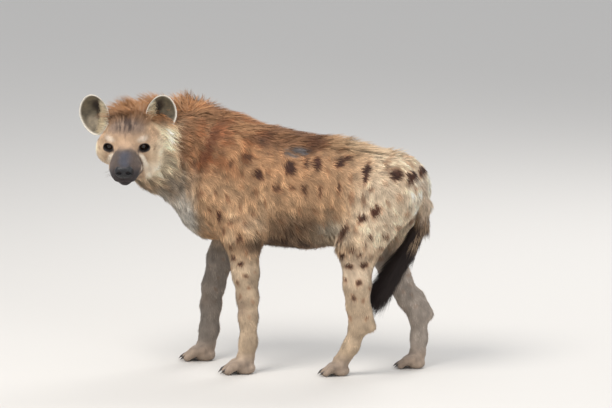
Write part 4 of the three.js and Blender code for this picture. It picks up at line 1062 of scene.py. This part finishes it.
def make_eye(side, sign):
    across, gaze, above = eye_axes(sign)
    rows, columns = 28, 48
    polar, turn = lattice(math.pi * np.arange(rows + 1) / rows, turns(columns)).T[:, :, None]
    flat = across * np.cos(turn) + above * np.sin(turn)
    bulge = 1.0 + 0.05 * np.maximum(0.0, np.cos(polar)) ** 6
    local = (gaze * np.cos(polar) + flat * np.sin(polar)) * EYE_RADIUS * bulge + eye_centre(sign)
    ball = add_mesh(f"eyeball_{side}", from_head(local), ring_quads(rows, columns)[:, [0, 3, 2, 1]])
    dress(ball, eye_material(metres(EYES[side]), gaze @ HEAD_AXES), "eye", f"eye_{side}")


# Rings of the lids, from the edge outwards: growth, rise and share of the skin
LID_RINGS = (
    (0.97, 0.1, 0.0), (1.0, 0.5, 0.0), (1.0, 1.2, 0.0), (1.05, 1.9, 0.1), (1.14, 2.0, 0.4), (1.26, 1.7, 0.75),
    (1.4, 1.4, 1.0), (1.55, 1.1, 1.0), (1.75, 0.7, 1.0), (1.95, 0.2, 1.0), (2.2, -1.6, 1.0),
)


def make_lids(side, sign):
    """Lid edges round the opening, then folds that run out into the skin."""
    across, gaze, above = eye_axes(sign)
    centre = eye_centre(sign)
    columns = 72
    turn = turns(columns)
    u = LID_WIDTH * np.cos(turn)
    v = np.sin(turn)
    v = v * np.where(v > 0, LID_ABOVE, LID_BELOW) - sign * u * LID_SLANT
    flat = across * u[:, None] + above * v[:, None]
    span = length_of(flat)
    flat = flat / span[:, None]
    heights = np.arange(34, -30, -0.5)
    rows = np.arange(columns)
    upper = np.clip(np.sin(turn), 0, 1)
    points = []
    for grow, rise, share in LID_RINGS:
        offset = centre + flat * (span * grow)[:, None]
        rays = offset[:, None] + gaze * heights[None, :, None]
        d = in_pieces(skin_field, from_head(rays.reshape(-1, 3))).reshape(columns, -1)
        first = np.clip(np.argmax(d < 0, axis=1), 1, None)
        before, after = d[rows, first - 1], d[rows, first]
        on_skin_at = heights[first - 1] - 0.5 * np.clip(before / (before - after + 1e-9), 0, 1)
        on_ball_at = np.sqrt(np.maximum((EYE_RADIUS + rise) ** 2 - (span * grow) ** 2, 0))
        fold = 1.2 * upper * math.exp(-((grow - 1.48) / 0.12) ** 2)
        fold = fold - 0.9 * upper * math.exp(-((grow - 1.3) / 0.07) ** 2)
        height = on_ball_at * (1 - share) + (on_skin_at + rise) * share + fold
        points.append(offset + gaze * height[:, None])
    local = np.concatenate(points)
    ring = np.repeat([ring[0] for ring in LID_RINGS], columns)
    tones = mix(head_colour(local), colour(20, 16, 16), ramp(ring, 1.75, 1.28))
    faces = ring_quads(len(LID_RINGS) - 1, columns)
    dress(add_mesh(f"lids_{side}", from_head(local), faces, tones), FACE_SKIN, "face")


for eye_side, eye_sign in SIDES:
    make_eye(eye_side, eye_sign)
    make_lids(eye_side, eye_sign)


# Nose pad with its nostrils and the groove below them
def nose_field(q):
    paired = mirrored(q)
    pad = joined(
        ellipsoid(q, (0, 111, -38), (27, 15, 21)), (ellipsoid(paired, (15, 110, -36), (13, 13, 15)), 8))
    hole = joined(
        ellipsoid(paired, (12.5, 125, -37), (6.2, 10, 5.2)),
        (taper(paired, (15, 123, -38, 3.4), (27, 114, -41, 2.0)), 4))
    groove = taper(q, (0, 129, -44, 1.3), (0, 116, -60, 1.3))
    return smooth_max(smooth_max(pad, -hole, 2.5), -groove, 2)


nose_points, nose_quads = surface_net(nose_field, (-40, 88, -64), (40, 134, -12), 1.1)
dress(add_mesh("nose_pad", from_head(nose_points), nose_quads), nose_material(), "nose", "nose")

# Lips: two soft rolls that follow the line of the mouth, and a thin near-black roll between them as painted
# shade in the crease
MOUTH = np.array([(52, 30, -66), (46, 52, -73), (40, 78, -76), (28, 103, -75), (0, 114, -67)], float)


def curve_through(points, count):
    """Even steps along a smooth curve through the points."""
    rows = np.vstack([2 * points[0] - points[1], points, 2 * points[-1] - points[-2]])
    t = np.linspace(0, len(points) - 1.0001, count)
    k = t.astype(int)
    f = (t - k)[:, None]
    a, b, c, d = rows[k], rows[k + 1], rows[k + 2], rows[k + 3]
    return 0.5 * (2 * b + (c - a) * f + (2 * a - 5 * b + 4 * c - d) * f ** 2 + (3 * (b - c) + d - a) * f ** 3)


def make_lip(name, rise, radius, tone):
    whole = np.vstack([MOUTH, MOUTH[-2::-1] * np.array([-1, 1, 1])])
    line = curve_through(whole, 90) + np.array([0, 0, rise])
    centre = moved_to(skin_field, from_head(line), radius * 0.35, 4)
    out = gradient(skin_field, centre)
    out /= length_of(out)[:, None]
    way = np.gradient(centre, axis=0)
    way /= length_of(way)[:, None]
    across = np.cross(way, out)
    sides = 10
    size = radius * np.sqrt(np.clip(1 - np.linspace(-1, 1, len(centre)) ** 6, 0.02, 1))
    turn = turns(sides)[None, :, None]
    ring = out[:, None] * np.cos(turn) + across[:, None] * np.sin(turn)
    points = (centre[:, None] + ring * size[:, None, None]).reshape(-1, 3)
    tones = tone * (0.8 + 0.4 * noise(points, 4, 91))[:, None]
    dress(add_mesh(name, points, ring_quads(len(centre) - 1, sides), tones), FACE_SKIN, "face")


make_lip("lip_upper", 2.6, 3.4, colour(50, 42, 42))
make_lip("lip_lower", -3.2, 3.6, colour(58, 48, 48))
# painted shade: a near-black roll in the crease between the lips
make_lip("mouth_crease_shade", -0.3, 1.6, colour(12, 9, 9))


# Ears: thin cups with pale edges
def ear_frame(sign):
    tilt = sign * math.radians(6)
    turn = -sign * math.radians(22)
    about_y = np.array([[math.cos(tilt), 0, math.sin(tilt)], [0, 1, 0], [-math.sin(tilt), 0, math.cos(tilt)]])
    about_z = np.array([[math.cos(turn), -math.sin(turn), 0], [math.sin(turn), math.cos(turn), 0], [0, 0, 1]])
    return about_y @ about_z, np.array([sign * 104, -78, 72])


def make_ear(side, sign):
    turn, centre = ear_frame(sign)
    rings, columns = 22, 80
    face, r, a = lattice([1, -1], np.arange(rings + 1) / rings, turns(columns)).T
    front = face > 0
    x = r * np.cos(a)
    z = r * np.sin(a)
    wide = x * EAR_WIDTH / 2 * np.where(z < 0, 1 + 0.12 * z, 1 - 0.1 * z * z)
    cup = 26 * (r * r - 1) + 8 * x + 1.2 * np.sin(9 * a) * r * (1 - r)
    thick = 2.4 * np.sqrt(np.maximum(0.0, 1 - r ** 4)) + 0.4
    local = rows_of(sign * wide, cup + face * thick, z * EAR_HEIGHT / 2) @ turn.T + centre
    # The front sheet, the back one and the edge between them
    half = (rings + 1) * columns
    sheet = ring_quads(rings, columns)
    last = rings * columns + np.arange(columns)
    following = rings * columns + (np.arange(columns) + 1) % columns
    edge = rows_of(last, following, following + half, last + half)
    if sign < 0:
        faces = np.concatenate([sheet, sheet[:, ::-1] + half, edge[:, ::-1]])
    else:
        faces = np.concatenate([sheet[:, ::-1], sheet + half, edge])
    blotch = fractal(local, 12, 41 + sign)
    flat = rows_of(x, z, 0)
    tones = layered(
        EAR_GREY,
        ((96, 86, 68), ramp(z, -0.2, 0.7)),
        ((142, 130, 112), 0.8 * blob(flat, (0.4, -0.5, 0), (0.45, 0.35, 1), 0.6)),
        (EAR_DARK, 0.9 * blob(flat, (-0.12, 0.36, 0), (0.32, 0.3, 1), 0.5)),
        (EAR_DARK, 0.9 * blob(flat, (-0.18, -0.12, 0), (0.2, 0.4, 1), 0.5)),
        (CREAM * 0.86, ramp(x + 0.3 * z, -0.35, -0.68) * ramp(z, 0.75, 0.4)))
    tones = mix(tones * (0.66 + 0.68 * blotch)[:, None], EAR_RIM, ramp(r, 0.88, 0.95))
    behind = mix(colour(128, 98, 70), colour(84, 64, 48), blotch)
    tones = np.where(front[:, None], tones, behind)
    points = from_head(local)
    dress(add_mesh(f"ear_cup_{side}", points, faces, tones), SKIN_FUR, "ear", f"ear_{side}")
    triangles = triangles_of(faces)
    return (points, triangles, vertex_normals(points, triangles)), tones, x, z, r, front, turn


EARS = {side: make_ear(side, sign) for side, sign in SIDES}

# Claws keep their solids and get the look of horn.
CLAW_HORN = claw_material()
for node_name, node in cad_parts.items():
    if node_name.startswith("claw"):
        node.data.materials.clear()
        node.data.materials.append(CLAW_HORN)


# Coat
def varied(tone, seed, amount=0.16):
    """Makes each hair a little lighter or darker than its neighbours."""
    draw = np.random.default_rng(seed)
    shade = 1 + draw.uniform(-amount, amount, len(tone))
    return np.clip(tone * shade[:, None], 0.005, 1)


def grow_short_coat():
    in_head = head_share(to_head(skin_vertices), 1.1, 0.94)
    leg = ramp(skin_vertices[:, 2], 440, 330)
    density = 0.074 * (1 - leg) + 0.05 * leg
    density = density * (1 - in_head) + 0.24 * in_head
    density[skin_vertices[:, 2] < 4] = 0
    root, normal = scattered(SURFACE, density, np.random.default_rng(101))
    q = to_head(root)
    bare = length_of((q - np.array([0, 114, -38])) / np.array([33, 24, 24])) < 1
    for side, sign in SIDES:
        bare |= (length_of(root - EYES[side]) < 40) & (lid_share(q, sign) < 1.5)
    root, normal, q = root[~bare], normal[~bare], q[~bare]
    n = len(root)
    x, z = root[:, 0], root[:, 2]
    in_head = head_share(q, 1.1, 0.94)
    muzzle = ramp(q[:, 1], 20, 70) * in_head
    leg = ramp(z, 450, 330)
    foot = ramp(z, 110, 50)
    flank = ramp(trunk_share(root), 0.5, 0.1) * ramp(x, 150, 80) * ramp(x, -230, -160) * (1 - leg)
    neck_part = ramp(x, -300, -370) * ramp(z, 500, 560) * (1 - in_head)
    length = 21 + 15 * flank + 14 * neck_part
    length = length * (1 - leg) + 13 * leg
    length = length * (1 - foot) + 7 * foot
    cheek_back = ramp(q[:, 1], 14, -50) * ramp(q[:, 2], 60, 20)
    length = length * (1 - in_head) + (8 + 8 * cheek_back) * in_head
    length = length * (1 - 0.45 * muzzle)
    draw = np.random.default_rng(7)
    length = length * draw.uniform(0.7, 1.2, n)
    width = np.clip(0.095 * length, 0.7, 2.0) * (1 - 0.25 * in_head)
    lift = 15 + 6 * flank + 6 * neck_part + draw.uniform(-7, 10, n)
    lift = lift * (1 - 0.1 * leg) * (1 - 0.2 * in_head)
    lie = lie_of(root, normal)
    bend = 1.1 * (noise(root, 11, 81) - 0.5) * (1 - 0.6 * in_head) * (1 - 0.5 * leg)
    lie = lie + np.cross(lie, normal) * (draw.normal(0, 0.14, n) + bend)[:, None]
    lie /= length_of(lie)[:, None]
    clump = noise(root * np.array([0.6, 1, 0.6]), 10, 83)
    base = coat_colour(root, normal) * (0.74 + 0.5 * clump)[:, None]
    tip = np.clip(base * 1.12 + 0.02, 0, 1)
    tip = mix(tip, CREAM * 0.92, 0.4 * flank * draw.uniform(0, 1, n))
    values = (root, normal, lie, length, width, lift, varied(base, 5), varied(tip, 6), unwrap(root, normal))
    order = np.argsort(part_of(root), kind="stable")
    strands("coat_short", *[value[order] for value in values])


def grow_long_coat():
    x, z = skin_vertices[:, 0], skin_vertices[:, 2]
    up = skin_normals[:, 2]
    q = to_head(skin_vertices)
    crest = ramp(up, 0.35, 0.95) * ramp(x, 270, 190) * ramp(z, 600, 640) * ramp(q[:, 1], -50, -64)
    neck_side = ramp(x, -300, -350) * ramp(z, 600, 650) * ramp(q[:, 1], -90, -110)
    under = ramp(-up, 0.3, 0.7) * ramp(x, 120, 60) * ramp(x, -230, -160) * ramp(z, 370, 385)
    density = 0.055 * crest + 0.02 * neck_side * (1 - crest) + 0.03 * under * (z < 470)
    by_ear = ramp(np.abs(q[:, 0]), 40, 56) * (q[:, 1] > -125) * (q[:, 2] > 10) * (x < -400)
    density = density * (1 - by_ear) * 1
    root, normal = scattered(SURFACE, density, np.random.default_rng(202))
    n = len(root)
    draw = np.random.default_rng(9)
    x = root[:, 0]
    rear = ramp(x, -20, 60)
    below = normal[:, 2] < 0
    crown = ramp(normal[:, 2], 0.5, 0.85)
    mane = ramp(x, -280, -420)
    crest = mane * crown
    length = 34 + 24 * crest + 12 * crown + 8 * rear * crown
    length = length * (1 - 0.4 * ramp(x, 150, 260))
    length = np.where(below, 40, length) * draw.uniform(0.6, 1.15, n)
    lift = 13 + 30 * crest + 14 * rear * crown + 6 * crown + draw.uniform(-7, 10, n)
    lift = np.where(below, 14 + draw.uniform(-5, 6, n), lift)
    lie = mix(lie_of(root, normal), np.array([-0.6, -0.25, 0.2]), 0.8 * crest)
    lie = pressed(lie + swirl(root, 22, 71) * 1.1, normal)
    base = coat_colour(root, normal)
    pale = np.clip(0.55 * mane + 0.6 * rear, 0, 1) * draw.uniform(0.1, 1, n)
    tip = mix(base * 1.08, colour(214, 182, 142), pale)
    base = mix(base, RUST * 0.95, 0.4 * crest) * (0.84 + 0.3 * noise(root, 12, 85))[:, None]
    strands("coat_mane", root, normal, lie, length, draw.uniform(1.3, 2.2, n), lift, varied(base, 15),
            varied(tip, 16), unwrap(root, normal), rings=3, droop=0.9, sink=3.0)


def grow_crown():
    """The upright tuft between and behind the ears."""
    q = to_head(skin_vertices)
    top = ramp(q[:, 2], 46, 58) * ramp(np.abs(q[:, 0]), 70, 50) * ramp(q[:, 1], -12, -34)
    density = 0.13 * top * (q[:, 1] > -120) * 1
    root, normal = scattered(SURFACE, density, np.random.default_rng(404))
    q = to_head(root)
    n = len(root)
    draw = np.random.default_rng(17)
    rising = ramp(q[:, 1], -16, -60)
    length = (12 + 26 * rising) * draw.uniform(0.65, 1.1, n)
    lift = 24 + 34 * rising + draw.uniform(-8, 10, n)
    lean = rows_of(q[:, 0] * 0.004, -0.8 + 0.5 * rising, 0.5)
    stray = rows_of(noise(root, 14, 61), noise(root, 14, 62), 0) - 0.5
    lie = pressed(lean @ HEAD_AXES + stray * 0.7, normal)
    base = mix(coat_colour(root, normal), colour(128, 86, 54), 0.6 * rising)
    tip = mix(base * 1.1, colour(196, 160, 122), 0.7 * rising * draw.uniform(0.2, 1, n))
    strands("coat_crown", root, normal, lie, length, draw.uniform(0.9, 1.5, n), lift, varied(base, 45, 0.2),
            varied(tip, 46, 0.2), unwrap(root, normal), rings=3, droop=0.4, sink=2.5)


def tail_path(t):
    points = np.array(TAIL, float)
    place = np.clip(t, 0, 0.9999) * (len(points) - 1)
    k = place.astype(int)
    f = (place - k)[:, None]
    row = points[k] * (1 - f) + points[k + 1] * f
    tangent = points[k + 1, :3] - points[k, :3]
    return row[:, :3], row[:, 3], tangent / length_of(tangent)[:, None]


def grow_tail():
    n = 7000
    draw = np.random.default_rng(33)
    t = 0.40 + 0.6 * draw.uniform(0, 1, n) ** 0.85
    centre, radius, tangent = tail_path(t)
    turn = draw.uniform(0, 2 * math.pi, n)
    side = np.array([[0.0, 1.0, 0.0]])
    front = np.cross(side, tangent)
    out = side * np.cos(turn)[:, None] + front * np.sin(turn)[:, None]
    root = centre + out * (radius * 0.7)[:, None]
    length = (58 + 76 * ramp(t, 0.45, 0.85)) * draw.uniform(0.6, 1.1, n)
    lift = draw.uniform(3, 22, n)
    lie = tangent + side * draw.normal(0, 0.07, n)[:, None] + front * draw.normal(0, 0.08, n)[:, None]
    lie = pressed(lie + np.array([0, 0, -0.15]), out)
    black = ramp(t, 0.36, 0.55)
    base = mix(colour(150, 120, 92), colour(34, 27, 25), black)
    tip = mix(colour(160, 132, 104), colour(50, 40, 38), black)
    tan = (turn > math.pi) & (draw.uniform(0, 1, n) < 0.4) & (t < 0.6)
    base[tan] = colour(150, 122, 96)
    tip[tan] = colour(170, 146, 120)
    strands("coat_tail", root, out, lie, length, draw.uniform(1.4, 2.4, n), lift, varied(base, 25),
            varied(tip, 26), unwrap(root, out), rings=4, droop=0.5, sink=4.0)


def grow_ear_hair(side, sign):
    surface, tones, x, z, r, front, turn = EARS[side]
    fringe = ramp(x + 0.3 * z, -0.3, -0.65) * front
    density = (0.14 + 0.14 * fringe + 0.1 * ramp(r, 0.86, 0.96)) * (r < 0.97) * 1
    draw = np.random.default_rng(300 + sign)
    root, normal, tone, height, reach, long = scattered(surface, density, draw, tones, z, r, fringe)
    n = len(root)
    outward = rows_of(sign * (1 - 0.6 * np.abs(height)), 0, 0.25 + 0.5 * height)
    lie = pressed(outward @ turn.T @ HEAD_AXES + 0.35 * swirl(root, 12, 61), normal)
    length = (8 + 19 * long) * draw.uniform(0.6, 1.1, n)
    length = length * (1 - 0.35 * ramp(reach, 0.85, 0.95))
    lift = 14 + 12 * long + draw.uniform(-6, 8, n)
    tip = mix(tone * 1.12, CREAM, 0.75 * long)
    base = mix(tone, CREAM * 0.85, 0.5 * long)
    front_way = turn @ np.array([0.0, 1.0, 0.0]) @ HEAD_AXES
    ahead = front_way * np.sign(normal @ front_way)[:, None]
    uv = unwrap(root, normal, PARTS.index(f"ear_{side}"))
    strands(f"coat_ear_{side}", root, normal, lie, length, np.clip(length * 0.09, 0.7, 1.3), lift,
            varied(base, 35, 0.28), varied(tip, 36, 0.24), uv, facing=0.5 * normal + 0.5 * ahead)


def grow_whiskers():
    draw = np.random.default_rng(77)
    places = []
    for sign in (-1, 1):
        for _ in range(9):
            y = draw.uniform(62, 94)
            places.append((sign * (44 - 0.12 * (y - 60)), y, draw.uniform(-62, -40)))
    q = np.array(places)
    n = len(q)
    sign = np.sign(q[:, 0])
    out = unit(rows_of(sign * 0.9, 0.15, -0.25))
    lie = pressed(rows_of(sign * 0.3, -0.7, -0.5), out) @ HEAD_AXES
    out = out @ HEAD_AXES
    root = from_head(q)
    tone = np.tile(colour(96, 86, 78), (n, 1))
    strands("whiskers", root, out, lie, draw.uniform(26, 50, n), np.full(n, 0.45),
            draw.uniform(24, 62, n), tone, tone * 1.5, unwrap(root, out), rings=4, droop=0.7)


grow_short_coat()
grow_long_coat()
grow_crown()
grow_tail()
for ear_side, ear_sign in SIDES:
    grow_ear_hair(ear_side, ear_sign)
grow_whiskers()

# Floor
HALF = 30.0
floor_mesh = bpy.data.meshes.new("floor")
floor_corners = [(-HALF, -HALF, 0), (HALF, -HALF, 0), (HALF, HALF, 0), (-HALF, HALF, 0)]
floor_mesh.from_pydata(floor_corners, [], [(0, 1, 2, 3)])
floor = bpy.data.objects.new("floor", floor_mesh)
bpy.context.scene.collection.objects.link(floor)
floor_material, _, floor_shader = new_material("floor_pale")
set_inputs(floor_shader, {"Base Color": (0.60, 0.575, 0.54, 1), "Roughness": 0.95})
floor_mesh.materials.append(floor_material)

# Camera: the photograph's angle, from twelve metres with a long lens
AZIMUTH = math.radians(10)
ELEVATION = math.radians(9)
DISTANCE = 12.0
SENSOR = 36
LENS = 3840 / 612 * SENSOR
target = Vector(metres(np.array([-30.0, 0.0, 525.0])))
back = Vector((
    math.sin(AZIMUTH) * math.cos(ELEVATION),
    -math.cos(AZIMUTH) * math.cos(ELEVATION),
    math.sin(ELEVATION),
))
camera_data = bpy.data.cameras.new("camera")
camera_data.lens = LENS
camera_data.sensor_width = SENSOR
camera_data.clip_end = 200
camera = bpy.data.objects.new("camera", camera_data)
bpy.context.scene.collection.objects.link(camera)
camera.location = target + back * DISTANCE
camera.rotation_euler = (-back).to_track_quat("-Z", "Y").to_euler()
bpy.context.scene.camera = camera


# Light: a broad soft sky with a large key from above
def area_light(name, place, size, power, tone=(1, 1, 1)):
    data = bpy.data.lights.new(name, "AREA")
    data.shape = "DISK"
    data.size = size
    data.energy = power
    data.color = tone
    light = bpy.data.objects.new(name, data)
    bpy.context.scene.collection.objects.link(light)
    light.location = target + Vector(place)
    light.rotation_euler = (-Vector(place)).to_track_quat("-Z", "Y").to_euler()


area_light("key", (-1.6, -2.8, 4.2), 2.6, 230, (1.0, 0.97, 0.93))
area_light("fill", (3.2, -3.6, 1.6), 3.0, 50, (0.94, 0.97, 1.0))
area_light("rim", (1.5, 3.2, 3.2), 2.4, 90)
world = bpy.data.worlds.new("world")
world.use_nodes = True
set_inputs(world.node_tree.nodes["Background"], {"Color": (0.92, 0.95, 1.0, 1), "Strength": 0.8})
bpy.context.scene.world = world
bpy.context.scene.view_settings.view_transform = "Standard"

bpy.context.view_layer.update()
